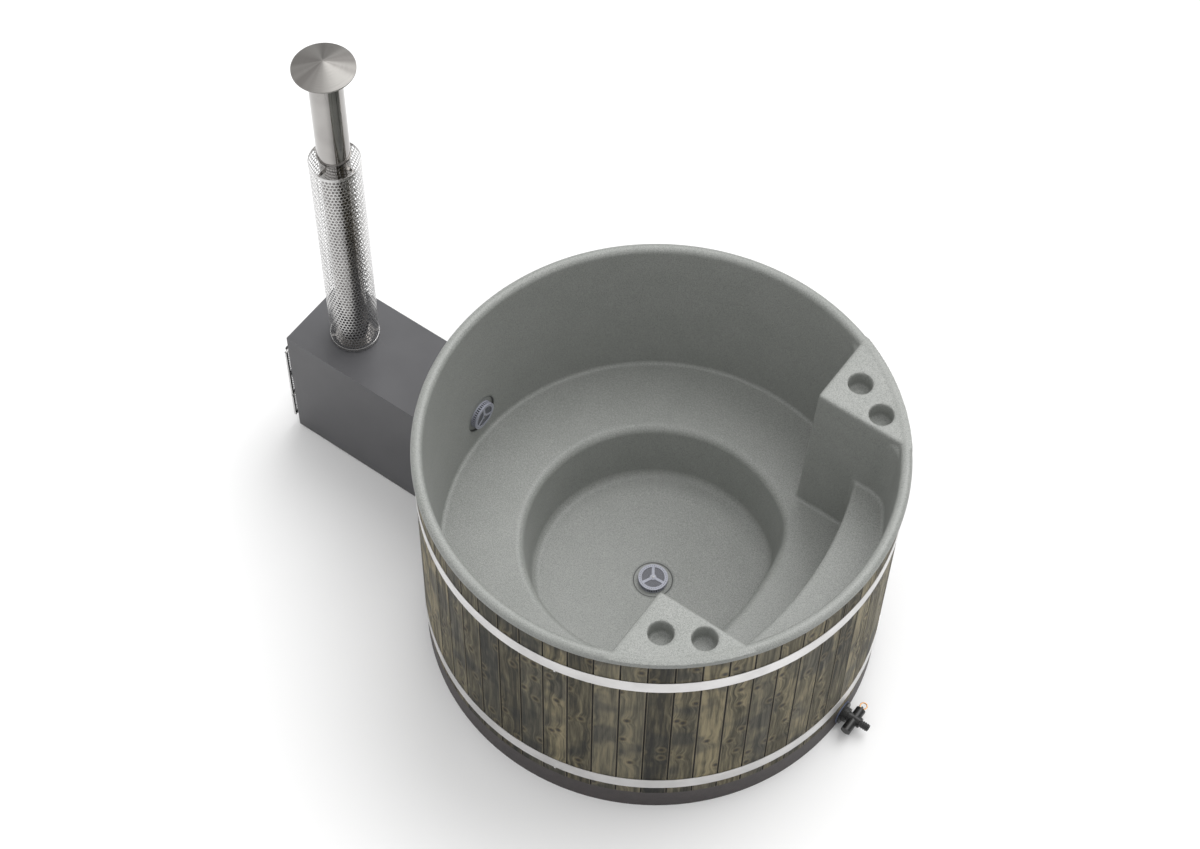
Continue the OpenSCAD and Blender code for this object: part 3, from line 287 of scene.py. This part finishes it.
def staveGrain(shader, across, z, lots, bend):
    one, two, three = lots
    aside, (sideBend, longBend) = two * woodGrain["aside"], woodGrain["streakBend"]
    place = shader.join(across + aside + bend * sideBend, three * woodGrain["deep"],
                        z * woodGrain["streakLong"] + bend * longBend)
    streak = shader.noise(place, *woodGrain["streak"])
    place = shader.join(across * woodGrain["ringWide"] + aside + bend * woodGrain["ringBend"], one,
                        z * woodGrain["ringLong"])
    rings = (shader.noise(place, *woodGrain["ring"]) * woodGrain["ringCount"]).math("SINE")
    fine = shader.noise(shader.join(across + one, two, z * woodGrain["fineLong"]), *woodGrain["fine"])
    tone = streak * woodGrain["streakShare"] + (rings + 1) * woodGrain["ringShare"]
    tone = tone + fine * woodGrain["fineShare"] + (one - middle) * woodGrain["lotShare"]
    return tone, streak * woodGrain["streakHeight"] + fine * woodGrain["fineHeight"]


def makeStaveWood():
    shader = finish("staveWood")
    index, across, z = staveFrame(shader)
    dice = shader.node("ShaderNodeTexWhiteNoise", {"noise_dimensions": "1D"}, {"W": index}, output="Color")
    one, two, three = shader.split(dice)
    away = knotDistance(shader, index, across, z, one)
    tone, height = staveGrain(shader, across, z, (one, two, three), knotFade(away, "bendFade"))
    color = shader.ramp(tone, stave["tones"], stave["dark"], stave["mid"], stave["light"])
    color = shader.mix(three.fade(*stave["greyFade"]), color, stave["greyed"])
    place = shader.join(across * stave["blotchWide"] + index * stave["blotchTurn"],
                        two * stave["blotchDeep"], z)
    blotch = shader.noise(place, *stave["blotchNoise"])
    color = shader.tint(blotch.fade(*stave["blotchFade"]), color, stave["blotch"])
    color = shader.mix(knotFade(away, "haloFade"), color, stave["light"])
    color = shader.tint(knotFade(away, "rimFade"), color, knot["rim"])
    color = shader.mix(knotFade(away, "heartFade"), color, knot["heart"])
    side = across.math("ABSOLUTE")
    # painted highlight: a lighter strip along both edges of each stave, where the bevels catch the light
    color = shader.mix(side.fade(*stave["bevelHighlightFade"]), color, stave["edge"])
    # painted shadow: the very edges of each stave go near-black, as in the gaps between staves
    color = shader.tint(side.fade(*stave["gapShadowFade"]), color, stave["gapShadow"])
    color = shader.tint(z.fade(*stave["footFade"]), color, stave["foot"])
    return shader.cover(color, tone.fade(*noiseSpan, *stave["gloss"]), height, stave["relief"])


# Planed timber that stays hidden under the tub
planed = {"dark": (0.42, 0.28, 0.14), "light": (0.70, 0.54, 0.34), "grain": (140.0, 3.0), "long": 0.08,
          "gloss": (0.7, 0.5), "relief": 0.0004}


def makePlanedWood():
    shader = finish("planedWood")
    x, y, z = shader.split(shader.spot())
    grain = shader.noise(shader.join(x * planed["long"], y, z), *planed["grain"])
    color = shader.ramp(grain, noiseSpan, planed["dark"], planed["light"])
    return shader.cover(color, grain.fade(*noiseSpan, *planed["gloss"]), grain, planed["relief"])


# Steel in its several finishes, with how far and how deep each is brushed
steels = {
    "hoopSteel": {"color": (0.70, 0.69, 0.685), "gloss": (0.34, 0.44),
                  "stretch": (1, 1, 40), "relief": 0.00004},
    "brightSteel": {"color": (0.72, 0.72, 0.72), "gloss": (0.18, 0.30),
                    "stretch": (3, 3, 3), "relief": 0.00003},
    "jacketSteel": {"color": (0.36, 0.36, 0.37), "gloss": (0.38, 0.55),
                    "stretch": (1, 1, 1), "relief": 0.0002},
    "flueSteel": {"color": (0.385, 0.372, 0.36), "gloss": (0.07, 0.14),
                  "stretch": (9, 9, 0.25), "relief": 0.00002},
    "guardSteel": {"color": (0.60, 0.595, 0.59), "gloss": (0.22, 0.34),
                   "stretch": (4, 4, 1), "relief": 0.00003}}
brushing = {"grain": (90.0, 4.0, 0.7), "cloud": (6.0, 3.0), "cloudSpan": (0.35, 0.65), "dull": 0.86}


def makeSteel(name):
    look = steels[name]
    shader = finish(name, Metallic=1.0)
    grain = shader.noise(shader.vectors("MULTIPLY", shader.spot(), look["stretch"]), *brushing["grain"])
    cloud = shader.noise(shader.spot(), *brushing["cloud"])
    dull = tuple(brushing["dull"] * part for part in look["color"])
    color = shader.mix(cloud.fade(*brushing["cloudSpan"]), look["color"], dull)
    return shader.cover(color, grain.fade(*noiseSpan, *look["gloss"]), grain, look["relief"])


# Rain cap: fans of light and dark painted round its tip as painted reflection, with fine grooves round its
# tip in the bump
cap = {"x": -1.45, "dark": (0.22, 0.21, 0.20), "light": (0.335, 0.325, 0.31), "tones": (0.36, 0.62),
       "fanSheen": (1.5, 1.0, 0.5), "groove": (1.0, 2.0), "grooveStep": 900.0, "grooveTurn": 1.2,
       "gloss": (0.46, 0.58), "relief": 0.00003}


def makeCapSteel():
    shader = finish("capSteel", Metallic=1.0)
    x, y, _ = shader.split(shader.spot())
    x = x - cap["x"]
    reach = span(x, y)
    # painted reflection: light and dark fans round the tip, in the base colour
    fanSheen = shader.noise(shader.join(x / reach, y / reach, 0.0), *cap["fanSheen"])
    color = shader.ramp(fanSheen, cap["tones"], cap["dark"], cap["light"])
    place = shader.join(reach * cap["grooveStep"], y.math("ARCTAN2", x) * cap["grooveTurn"], 0.0)
    groove = shader.noise(place, *cap["groove"])
    return shader.cover(color, groove.fade(*noiseSpan, *cap["gloss"]), groove, cap["relief"])


# Powder coat on the stove, with its fine peel
coat = {"dark": (0.072, 0.072, 0.077), "light": (0.090, 0.090, 0.096), "peel": (850.0, 2.0),
        "cloud": (4.0, 3.0), "gloss": (0.36, 0.50), "relief": 0.00012}


def makeCoat():
    shader = finish("powderCoat")
    peel = shader.noise(shader.spot(), *coat["peel"])
    cloud = shader.noise(shader.spot(), *coat["cloud"])
    color = shader.ramp(cloud, noiseSpan, coat["dark"], coat["light"])
    return shader.cover(color, peel.fade(*noiseSpan, *coat["gloss"]), peel, coat["relief"])


# Pull ring of the valve
copper = {"dark": (0.80, 0.44, 0.19), "light": (0.86, 0.52, 0.25), "grain": (500.0, 2.0),
          "gloss": (0.2, 0.32), "relief": 0.00003}


def makeCopper():
    shader = finish("copperRing", Metallic=1.0)
    grain = shader.noise(shader.spot(), *copper["grain"])
    color = shader.mix(grain.fade(*noiseSpan), copper["dark"], copper["light"])
    return shader.cover(color, grain.fade(*noiseSpan, *copper["gloss"]), grain, copper["relief"])


# Plain moulded and cast stuffs: two colors, roughness range, grain size and relief; moulding holds the rest
stuffs = {"basePlastic": ((0.036, 0.029, 0.029), (0.053, 0.044, 0.044), (0.45, 0.62), 420.0, 0.0002),
          "fittingPlastic": ((0.045, 0.047, 0.055), (0.075, 0.078, 0.088), (0.35, 0.50), 260.0, 0.0001),
          "pipePlastic": ((0.62, 0.62, 0.60), (0.74, 0.74, 0.72), (0.40, 0.55), 120.0, 0.0001),
          "blackRubber": ((0.018, 0.018, 0.018), (0.030, 0.030, 0.030), (0.70, 0.85), 300.0, 0.0002),
          "gasketRubber": ((0.09, 0.11, 0.17), (0.13, 0.15, 0.22), (0.55, 0.70), 300.0, 0.0002),
          "valvePlastic": ((0.012, 0.012, 0.012), (0.022, 0.022, 0.022), (0.22, 0.38), 350.0, 0.0001),
          "blackIron": ((0.022, 0.022, 0.023), (0.050, 0.050, 0.052), (0.45, 0.70), 160.0, 0.0004),
          "sealRope": ((0.50, 0.48, 0.42), (0.74, 0.72, 0.65), (0.85, 0.95), 380.0, 0.0008),
          "foam": ((0.66, 0.62, 0.45), (0.82, 0.79, 0.62), (0.80, 0.95), 500.0, 0.0006)}
moulding = {"grain": (3.0, 0.6), "broader": 0.06, "broad": 2.0, "tones": (0.35, 0.65)}


def makeStuff(name):
    dark, light, gloss, size, relief = stuffs[name]
    shader = finish(name)
    grain = shader.noise(shader.spot(), size, *moulding["grain"])
    broad = shader.noise(shader.spot(), size * moulding["broader"], moulding["broad"])
    color = shader.mix(((grain + broad) * middle).fade(*moulding["tones"]), dark, light)
    return shader.cover(color, grain.fade(*noiseSpan, *gloss), grain, relief)


# Strainers with a net in the middle and small holes in the ring, all measured from the strainer's own axis;
# the net's openings, the ring's holes and the inside under the net are painted shade, near-black
strainer = {"dark": (0.33, 0.34, 0.40), "light": (0.43, 0.44, 0.51), "gloss": (0.28, 0.42), "size": 300.0,
            "relief": 0.00005, "shadedNet": (0.020, 0.021, 0.026), "wire": (0.16, 0.165, 0.20),
            "wireFade": (0.35, 0.8), "netReach": 0.0452, "netTop": 0.0221, "pitch": 0.0024,
            "hole": (0.02, 0.02, 0.025), "holes": 38, "holeAt": 0.0515,
            "holeSize": 0.0014, "holeFade": (0.7, 1.3, 1.0, 0.0), "shadeReach": 0.0555, "shadeTop": 0.0180,
            "floorSeat": 0.15223, "wallSeat": -0.835}


def strainerAxes(shader, onWall):
    x, y, z = shader.split(shader.spot())
    if onWall:
        return y, z - liner["inletHeight"], x - strainer["wallSeat"]
    return x, y, z - strainer["floorSeat"]


# Painted shade: dark round spots for the holes round the strainer's ring
def shadedRingHoles(along, across, reach):
    step = fullTurn / strainer["holes"]
    turn = across.math("ARCTAN2", along) * (1 / step)
    aside = (turn - turn.math("FLOOR") - middle) * (step * strainer["holeAt"])
    away = span(aside, reach - strainer["holeAt"])
    return away.fade(*strainer["holeFade"], size=strainer["holeSize"])


def makeStrainerPlastic(name, onWall):
    shader = finish(name)
    along, across, rise = strainerAxes(shader, onWall)
    reach = span(along, across)
    warp, weft = [(part * (fullTurn / strainer["pitch"])).math("SINE") for part in (along, across)]
    wires = warp.math("MAXIMUM", weft).fade(*strainer["wireFade"])
    # painted shade: the openings of the net are near-black between the lighter wires
    shadedNet = (reach < strainer["netReach"]) * (rise < strainer["netTop"])
    # painted shade: near-black under the net and on the inner wall of the skirt
    shadedInside = (reach < strainer["shadeReach"]) * (rise < strainer["shadeTop"])
    grain = shader.noise(shader.spot(), strainer["size"], *moulding["grain"])
    color = shader.mix(grain.fade(*moulding["tones"]), strainer["dark"], strainer["light"])
    color = shader.mix(shadedNet, color, shader.mix(wires, strainer["shadedNet"], strainer["wire"]))
    color = shader.mix(shadedRingHoles(along, across, reach) * (rise > strainer["netTop"]), color, strainer["hole"])
    color = shader.mix(shadedInside, color, strainer["hole"])
    return shader.cover(color, grain.fade(*noiseSpan, *strainer["gloss"]), grain, strainer["relief"])


granite = makeGranite()
steel = {name: makeSteel(name) for name in steels}
stuff = {name: makeStuff(name) for name in stuffs}

dress(makeStaveWood(), *["staves_%d" % part for part in range(1, 7)])
dress(makePlanedWood(), "base_bearers", "floor_board", "seat_posts")
dress(steel["hoopSteel"], "hoop_upper", "hoop_lower")
dress(steel["brightSteel"], "hoop_bolts", "hoop_nails", "stove_pan", "hinge_pins", "air_slider")
dress(steel["jacketSteel"], "strainer_screws", "firebox", "ash_rails", "ash_drawer", "hinge_brackets",
      "latch_keeper")
dress(steel["flueSteel"], "flue_lower", "flue_upper", "cap_legs", "flue_guard", "guard_tabs", "flue_collar")
dress(steel["guardSteel"], "door_guard", "ash_guard")
dress(stuff["basePlastic"], "base_tray")
dress(makeStrainerPlastic("floorStrainerPlastic", False), "floor_strainer")
dress(makeStrainerPlastic("wallStrainerPlastic", True), "wall_strainer")
dress(stuff["fittingPlastic"], "floor_fitting", "wall_fitting", "fitting_nuts", "drain_tee")
dress(stuff["pipePlastic"], "drain_pipe", "cold_pipe", "hot_pipe")
dress(stuff["blackRubber"], "fitting_gaskets", "stove_feet")
dress(stuff["gasketRubber"], "valve_gasket")
dress(stuff["valvePlastic"], "valve_body", "valve_nut", "hose_barb", "valve_cap", "valve_plunger")
dress(stuff["blackIron"], "fire_grate", "fire_door", "door_latch")
dress(stuff["sealRope"], "door_seal")
dress(stuff["foam"], "floor_insulation")
dress(makeCoat(), "stove_casing", "stove_front", "stove_back")
dress(makeCapSteel(), "rain_cap")
dress(makeCopper(), "pull_ring")
print("materials on")

# Edges that turn by more than this stay sharp on the drawn pieces
sharpFrom = math.radians(35)


def newPiece(name, points, faces, material, body):
    mesh = bpy.data.meshes.new(name)
    mesh.from_pydata(points, [], faces)
    mesh.update()
    piece = bpy.data.objects.new(name, mesh)
    bpy.context.scene.collection.objects.link(piece)
    mesh.materials.append(material)
    for face in mesh.polygons:
        face.use_smooth = True
    mesh.set_sharp_from_angle(angle=sharpFrom)
    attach(piece, body)
    return piece


# Liner as one soft moulding, taken off a distance field: negative is inside the plastic
tub = {"voxel": 0.006, "band": 3, "margin": 0.012, "underMargin": 0.006, "rimRadius": 0.900,
       "rimHeight": 1.153, "outmost": 0.8997, "bead": 0.022, "seat": 0.460, "seatWall": 0.822,
       "wellRadius": 0.502, "wellEdge": 0.028, "wellDraft": 6.5, "wellFloor": 0.187, "slope": 4.3,
       "footRound": 0.028, "arcBack": 0.700, "flatRadius": 1.128, "creaseRound": 0.030, "consoleX": 0.343,
       "consoleY": 0.500, "consoleDraft": 1.7, "consoleTop": 1.150, "consoleEdge": 0.012,
       "consoleCorner": 0.014, "consoleBlend": 0.045, "leastBlend": 0.1, "seatBlend": 0.014,
       "stepHeight": 0.775, "stepRadius": 1.344, "stepEdge": 0.010, "cups": [(0.440, 0.636), (0.574, 0.566)],
       "cupRadius": 0.045, "cupDepth": 0.070, "cupLip": 0.007, "cupFoot": 0.012, "recess": 0.078,
       "recessDepth": 0.005, "wallSeat": -0.835, "inletHeight": 0.592, "skirt": 1.127, "skirtReach": 0.897,
       "under": 0.146}


def joined(first, second, rounding):
    a, b = np.maximum(rounding - first, 0), np.maximum(rounding - second, 0)
    return np.maximum(rounding, np.minimum(first, second)) - np.sqrt(a * a + b * b)


def shared(first, second, rounding):
    return -joined(-first, -second, rounding)


def consoleForm(x, z, side):
    drop = (tub["consoleTop"] - z) * math.tan(math.radians(tub["consoleDraft"]))
    block = shared(tub["consoleX"] - drop - x, tub["consoleY"] - drop - side, tub["consoleCorner"])
    return shared(block, z - tub["consoleTop"], tub["consoleEdge"])


def stepForm(z, away):
    drop = (tub["stepHeight"] - z) * math.tan(math.radians(tub["consoleDraft"]))
    return shared(tub["stepRadius"] - drop - away, z - tub["stepHeight"], tub["stepEdge"])


def raisedForms(x, y, z, reach, away):
    beadX, beadZ = tub["rimRadius"] - tub["bead"], tub["rimHeight"] - tub["bead"]
    lean = (beadX - tub["bead"] - tub["seatWall"]) / (beadZ - tub["seat"])
    wall = (tub["seatWall"] + (z - tub["seat"]) * lean - reach) / math.hypot(1, lean)
    blend = tub["consoleBlend"] * np.clip((beadZ - z) / tub["bead"], tub["leastBlend"], 1)
    solid = joined(np.maximum(wall, z - beadZ), consoleForm(x, z, np.abs(y)), blend)
    solid = joined(solid, stepForm(z, away), tub["seatBlend"])
    solid = joined(solid, z - tub["seat"], tub["seatBlend"])
    return np.minimum(solid, np.hypot(reach - beadX, z - beadZ) - tub["bead"])


def footRadius(radius, height):
    tilt = math.radians(tub["wellDraft"])
    drop = tub["seat"] - tub["wellEdge"] * (1 - math.sin(tilt))
    return radius + tub["wellEdge"] * (1 - math.cos(tilt)) - (drop - height) * math.tan(tilt)


def wellForm(z, reach, radius, floor, slope):
    tilt = math.radians(tub["wellDraft"])
    side = (footRadius(radius, 0) + z * math.tan(tilt) - reach) * math.cos(tilt)
    bottom = (z - floor + (footRadius(radius, floor) - reach) * math.tan(slope)) * math.cos(slope)
    return joined(side, bottom, tub["footRound"])


def carved(solid, hollow):
    return np.maximum(solid, -hollow)


def linerField(x, y, z):
    reach, away, side = np.hypot(x, y), np.hypot(x + tub["arcBack"], y), np.abs(y)
    slope, floor = math.radians(tub["slope"]), tub["wellFloor"]
    foot = footRadius(tub["wellRadius"], floor)
    flatFloor = floor - (foot - footRadius(tub["flatRadius"], floor) + tub["arcBack"]) * math.tan(slope)
    well = joined(wellForm(z, reach, tub["wellRadius"], floor, slope),
                  wellForm(z, away, tub["flatRadius"], flatFloor, 2 * slope), tub["creaseRound"])
    solid = shared(raisedForms(x, y, z, reach, away), well, tub["wellEdge"])
    low = floor - (foot - tub["recess"]) * math.tan(slope) - tub["recessDepth"]
    solid = carved(solid, np.maximum(reach - tub["recess"], np.maximum(low - z, z - tub["seat"])))
    inlet = np.hypot(y, z - tub["inletHeight"]) - tub["recess"]
    solid = carved(solid, np.maximum(inlet, np.maximum(tub["wallSeat"] - x, x)))
    for cupX, cupY in tub["cups"]:
        cup = np.hypot(x - cupX, side - cupY) - tub["cupRadius"]
        cup = shared(cup, tub["consoleTop"] - tub["cupDepth"] - z, tub["cupFoot"])
        solid = shared(solid, -cup, tub["cupLip"])
    return np.maximum(solid, reach - tub["outmost"])


def gridLine(low, high):
    return (np.arange(int((high - low) / tub["voxel"]) + 1) * tub["voxel"] + low).astype(np.float32)


def makeLiner():
    size, half, base = tub["voxel"], tub["rimRadius"] + tub["margin"], tub["under"] - tub["underMargin"]
    flat, rise = gridLine(-half, half), gridLine(base, tub["rimHeight"] + tub["margin"])
    x, y, z = np.meshgrid(flat, flat, rise, indexing="ij", sparse=True)
    band = tub["band"] * size
    grid = openvdb.FloatGrid(band)
    grid.copyFromArray(np.clip(linerField(x, y, z), -band, band).astype(np.float32), tolerance=0.0)
    points, faces = grid.convertToQuads(0.0)
    points = points * size + np.array([-half, -half, base])
    centers = points[faces].mean(axis=1)
    skirt = (np.hypot(centers[:, 0], centers[:, 1]) > tub["skirtReach"]) & (centers[:, 2] < tub["skirt"])
    faces = faces[~skirt & (centers[:, 2] > tub["under"])]
    used, faces = np.unique(faces, return_inverse=True)
    quads = faces.reshape(-1, 4)[:, ::-1].tolist()
    piece = newPiece("linerMoulding", points[used].tolist(), quads, granite, "tub")
    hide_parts("tub_liner")
    print("liner made:", len(piece.data.polygons), "faces")


makeLiner()

# Pierced sheet: each hole sits in a cell of six corners, and every other row is shifted by half a cell
hexagon = [(2, 1), (1, 1), (0, 1), (0, 0), (1, 0), (2, 0)]
holeSides = 12


def holeFaces(outer, first):
    faces = []
    for side in range(len(hexagon)):
        start = 2 * side
        faces.append((outer[side], outer[(side + 1) % len(hexagon)], first + (start + 2) % holeSides,
                      first + start + 1, first + start))
    return faces


def piercedSheet(columns, rows, holeShare, tall, bend, closed):
    points, faces, corners = [], [], {}

    def corner(u, v):
        key = (u % (2 * columns) if closed else u, v)
        if key not in corners:
            corners[key] = len(points)
            points.append(bend(u / 2, v))
        return corners[key]

    for row in range(rows):
        shift = row % 2
        for column in range(columns if closed or not shift else columns - 1):
            left = 2 * column + shift
            outer = [corner(left + right, row + up) for right, up in hexagon]
            first = len(points)
            for part in range(holeSides):
                turn = fullTurn * (part + 1) / holeSides
                points.append(bend((left + 1) / 2 + holeShare * math.cos(turn),
                                   row + middle + holeShare * math.sin(turn) * tall))
            faces += holeFaces(outer, first)
    return points, faces


# Guard round the flue
flueGuard = {"x": -1.45, "radius": 0.0955, "low": 0.624, "high": 1.690, "band": 0.014, "holes": 44,
             "holeShare": 0.40, "tall": 1.25, "inward": 0.0008, "outward": 0.0011, "bandSteps": 4}


def bandPart(points, faces, low, high):
    around, base = flueGuard["bandSteps"] * flueGuard["holes"], len(points)
    inner, outer = flueGuard["radius"] - flueGuard["inward"], flueGuard["radius"] + flueGuard["outward"]
    profile = [(inner, low), (outer, low), (outer, high), (inner, high)]
    corners = len(profile)
    for step in range(around):
        turn = fullTurn * step / around
        points += [(flueGuard["x"] + r * math.cos(turn), r * math.sin(turn), z) for r, z in profile]
        here, there = base + corners * step, base + corners * ((step + 1) % around)
        for k in range(corners):
            after = (k + 1) % corners
            faces.append((here + k, there + k, there + after, here + after))


def makeFlueGuard():
    spec = flueGuard
    pitch = fullTurn * spec["radius"] / spec["holes"]
    low, high = spec["low"] + spec["band"], spec["high"] - spec["band"]
    rows = round((high - low) / (pitch * spec["tall"]))

    def bend(u, v):
        turn = fullTurn * u / spec["holes"]
        return (spec["x"] + spec["radius"] * math.cos(turn), spec["radius"] * math.sin(turn),
                low + v * (high - low) / rows)

    points, faces = piercedSheet(spec["holes"], rows, spec["holeShare"], 1.0, bend, True)
    bandPart(points, faces, spec["low"], low)
    bandPart(points, faces, high, spec["high"])
    piece = newPiece("flueGuardSheet", points, faces, steel["guardSteel"], "tub")
    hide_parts("flue_guard")


# Guards before the fire door and the ash drawer, pierced alike; each has holes for what reaches through it
frontGuards = [
    {"name": "doorGuardSheet", "node": "door_guard", "body": "fire_door", "low": 0.196, "high": 0.495,
     "stubY": 0.100, "stubZ": (0.255, 0.470), "stubEnd": -1.664,
     "holes": [(-0.108, 0.340, 0.0056), (0, 0.224, 0.020)]},
    {"name": "ashGuardSheet", "node": "ash_guard", "body": "ash_drawer", "low": 0.050, "high": 0.190,
     "stubY": 0.120, "stubZ": (0.072, 0.168), "stubEnd": -1.6573, "holes": [(0, 0.120, 0.0086)]}]
guardPlate = {"x": -1.680, "half": 0.176, "thin": 0.0015, "back": 0.008, "edge": 0.010, "lap": 0.0045,
              "pitch": 0.009, "holeShare": 0.34, "rowShare": 0.866, "stub": 0.005, "stubSides": 20}
boxSides = [(0, 1, 3, 2), (4, 6, 7, 5), (0, 4, 5, 1), (2, 3, 7, 6), (0, 2, 6, 4), (1, 5, 7, 3)]


def boxPart(points, faces, low, high):
    base = len(points)
    points += [(x, y, z) for x in (low[0], high[0]) for y in (low[1], high[1]) for z in (low[2], high[2])]
    faces += [tuple(base + corner for corner in side) for side in boxSides]


def rodPart(points, faces, x0, x1, y, z):
    base, sides, radius = len(points), guardPlate["stubSides"], guardPlate["stub"]
    turns = [fullTurn * k / sides for k in range(sides)]
    for x in (x0, x1):
        points += [(x, y + radius * math.cos(turn), z + radius * math.sin(turn)) for turn in turns]
    near, far = range(base, base + sides), range(base + sides, base + 2 * sides)
    faces += [(near[k], near[(k + 1) % sides], far[(k + 1) % sides], far[k]) for k in range(sides)]
    faces += [tuple(near)[::-1], tuple(far)]


def frontSheet(spec):
    sheet = guardPlate
    half, face = sheet["half"] - sheet["edge"], sheet["x"] + sheet["thin"] / 2
    low, high = spec["low"] + sheet["edge"], spec["high"] - sheet["edge"]
    columns = round(2 * half / sheet["pitch"])
    rows = round((high - low) / (sheet["pitch"] * sheet["rowShare"]))

    def bend(u, v):
        return (face, half - u * 2 * half / columns, low + v * (high - low) / rows)

    def isClear(corners):
        y, z = [sum(points[k][axis] for k in corners) / len(corners) for axis in (1, 2)]
        return all(math.hypot(y - holeY, z - holeZ) > radius for holeY, holeZ, radius in spec["holes"])

    points, faces = piercedSheet(columns, rows, sheet["holeShare"], 1 / sheet["rowShare"], bend, False)
    return points, [corners for corners in faces if isClear(corners)]


def frontFrame(points, faces, spec):
    sheet = guardPlate
    half, edge, thin = sheet["half"], sheet["edge"], sheet["thin"]
    x0, x1, back = sheet["x"], sheet["x"] + thin, sheet["x"] + sheet["back"]
    z0, z1 = spec["low"], spec["high"]
    for side in (-1, 1):
        inner, outer = sorted([side * (half - edge - sheet["lap"]), side * half])
        boxPart(points, faces, (x0, inner, z0), (x1, outer, z1))
        inner, outer = sorted([side * (half - thin), side * half])
        boxPart(points, faces, (x1, inner, z0), (back, outer, z1))
        for stubZ in spec["stubZ"]:
            rodPart(points, faces, x1, spec["stubEnd"], side * spec["stubY"], stubZ)
    for low, high in [(z0, z0 + edge), (z1 - edge, z1)]:
        boxPart(points, faces, (x0, -half, low), (x1, half, high))
    for low, high in [(z0, z0 + thin), (z1 - thin, z1)]:
        boxPart(points, faces, (x1, -half, low), (back, half, high))


def makeFrontGuard(spec):
    points, faces = frontSheet(spec)
    frontFrame(points, faces, spec)
    piece = newPiece(spec["name"], points, faces, steel["guardSteel"], spec["body"])
    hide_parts(spec["node"])


makeFlueGuard()
for spec in frontGuards:
    makeFrontGuard(spec)
print("pierced sheets made")

# Small rounding on the edges of the sheet-metal casing, so that they catch the light
casingEdge = {"width": 0.002, "segments": 2, "limit_method": "ANGLE", "angle_limit": math.radians(50),
              "harden_normals": True}


def softenCasing():
    modifier = nodes["stove_casing"].modifiers.new("edges", "BEVEL")
    for name, value in casingEdge.items():
        setattr(modifier, name, value)


softenCasing()

# Floor and backdrop
stage = {"reach": 30.0, "seen": (0.88, 0.88, 0.88), "bounced": (0.30, 0.30, 0.30)}


def makeFloor():
    shader = finish("paleFloor", Roughness=1.0, Specular_IOR_Level=0.0)
    seen = shader.node("ShaderNodeLightPath", output="Is Camera Ray")
    mirrored = shader.node("ShaderNodeLightPath", output="Is Glossy Ray")
    shader.feed(Base_Color=shader.mix(seen.math("MAXIMUM", mirrored), stage["bounced"], stage["seen"]))
    reach = stage["reach"]
    mesh = bpy.data.meshes.new("floor")
    corners = [(-reach, -reach, 0), (reach, -reach, 0), (reach, reach, 0), (-reach, reach, 0)]
    mesh.from_pydata(corners, [], [(0, 1, 2, 3)])
    floor = bpy.data.objects.new("floor", mesh)
    mesh.materials.append(shader.holder)
    bpy.context.scene.collection.objects.link(floor)
    floor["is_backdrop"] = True


# Light: a pale room with two darker sides that the polished pipe mirrors, and one broad lamp
room = {"low": 0.52, "high": 1.27, "riseFade": (0.15, 1.0), "dark": 0.02, "mirrored": 0.90,
        "sides": (1.7, 0.0), "sideFade": (0.40, 0.50), "upFade": (0.35, 0.75)}
lamp = {"power": 1.55, "soft": 50.0, "turn": (-33.0, 4.0, 0.0)}


def makeRoom():
    world = bpy.data.worlds.new("room")
    bpy.context.scene.world = world
    shader = Shader(world)
    shader.surface = shader.tree.nodes["Background"]
    x, y, z = shader.split(shader.node("ShaderNodeTexCoord", output="Generated"))
    turn = y.math("ARCTAN2", x)
    around = shader.join(turn.math("COSINE"), turn.math("SINE"), 0.0)
    sides = shader.noise(around, *room["sides"]).fade(*room["sideFade"], room["dark"], room["mirrored"])
    sides = sides + (room["mirrored"] - sides) * z.fade(*room["upFade"])
    glossy = shader.node("ShaderNodeLightPath", output="Is Glossy Ray")
    seen = shader.node("ShaderNodeLightPath", output="Is Camera Ray")
    spread = z.fade(*room["riseFade"], room["low"], room["high"])
    level = glossy * (sides - spread) + spread
    shader.feed(Color=level + (1 - level) * seen, Strength=1.0)


def makeLamp():
    light = bpy.data.lights.new("broadLamp", "SUN")
    light.energy = lamp["power"]
    light.angle = math.radians(lamp["soft"])
    holder = bpy.data.objects.new("broadLamp", light)
    holder.rotation_euler = [math.radians(part) for part in lamp["turn"]]
    bpy.context.scene.collection.objects.link(holder)


# Camera, high in front of the drain valve's side
view = {"place": (2.5319, -4.0759, 8.5739), "turns": [(34.5, "Z"), (33.22, "X"), (1.375, "Z")], "lens": 74.06,
        "sensor": 36.0, "far": 100.0}


def makeCamera():
    camera = bpy.data.cameras.new("camera")
    camera.lens = view["lens"]
    camera.sensor_width = view["sensor"]
    camera.clip_end = view["far"]
    holder = bpy.data.objects.new("camera", camera)
    placed = Matrix.Translation(Vector(view["place"]))
    for degrees, axis in view["turns"]:
        placed = placed @ Matrix.Rotation(math.radians(degrees), 4, axis)
    holder.matrix_world = placed
    bpy.context.scene.collection.objects.link(holder)
    bpy.context.scene.camera = holder


makeFloor()
makeRoom()
makeLamp()
makeCamera()
bpy.context.scene.view_settings.view_transform = "Standard"
print("stage, light and camera set")

both = {"cad": cadBounds, "visual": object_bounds()}
{name: [[float(part) for part in corner] for corner in box] for name, box in both.items()}
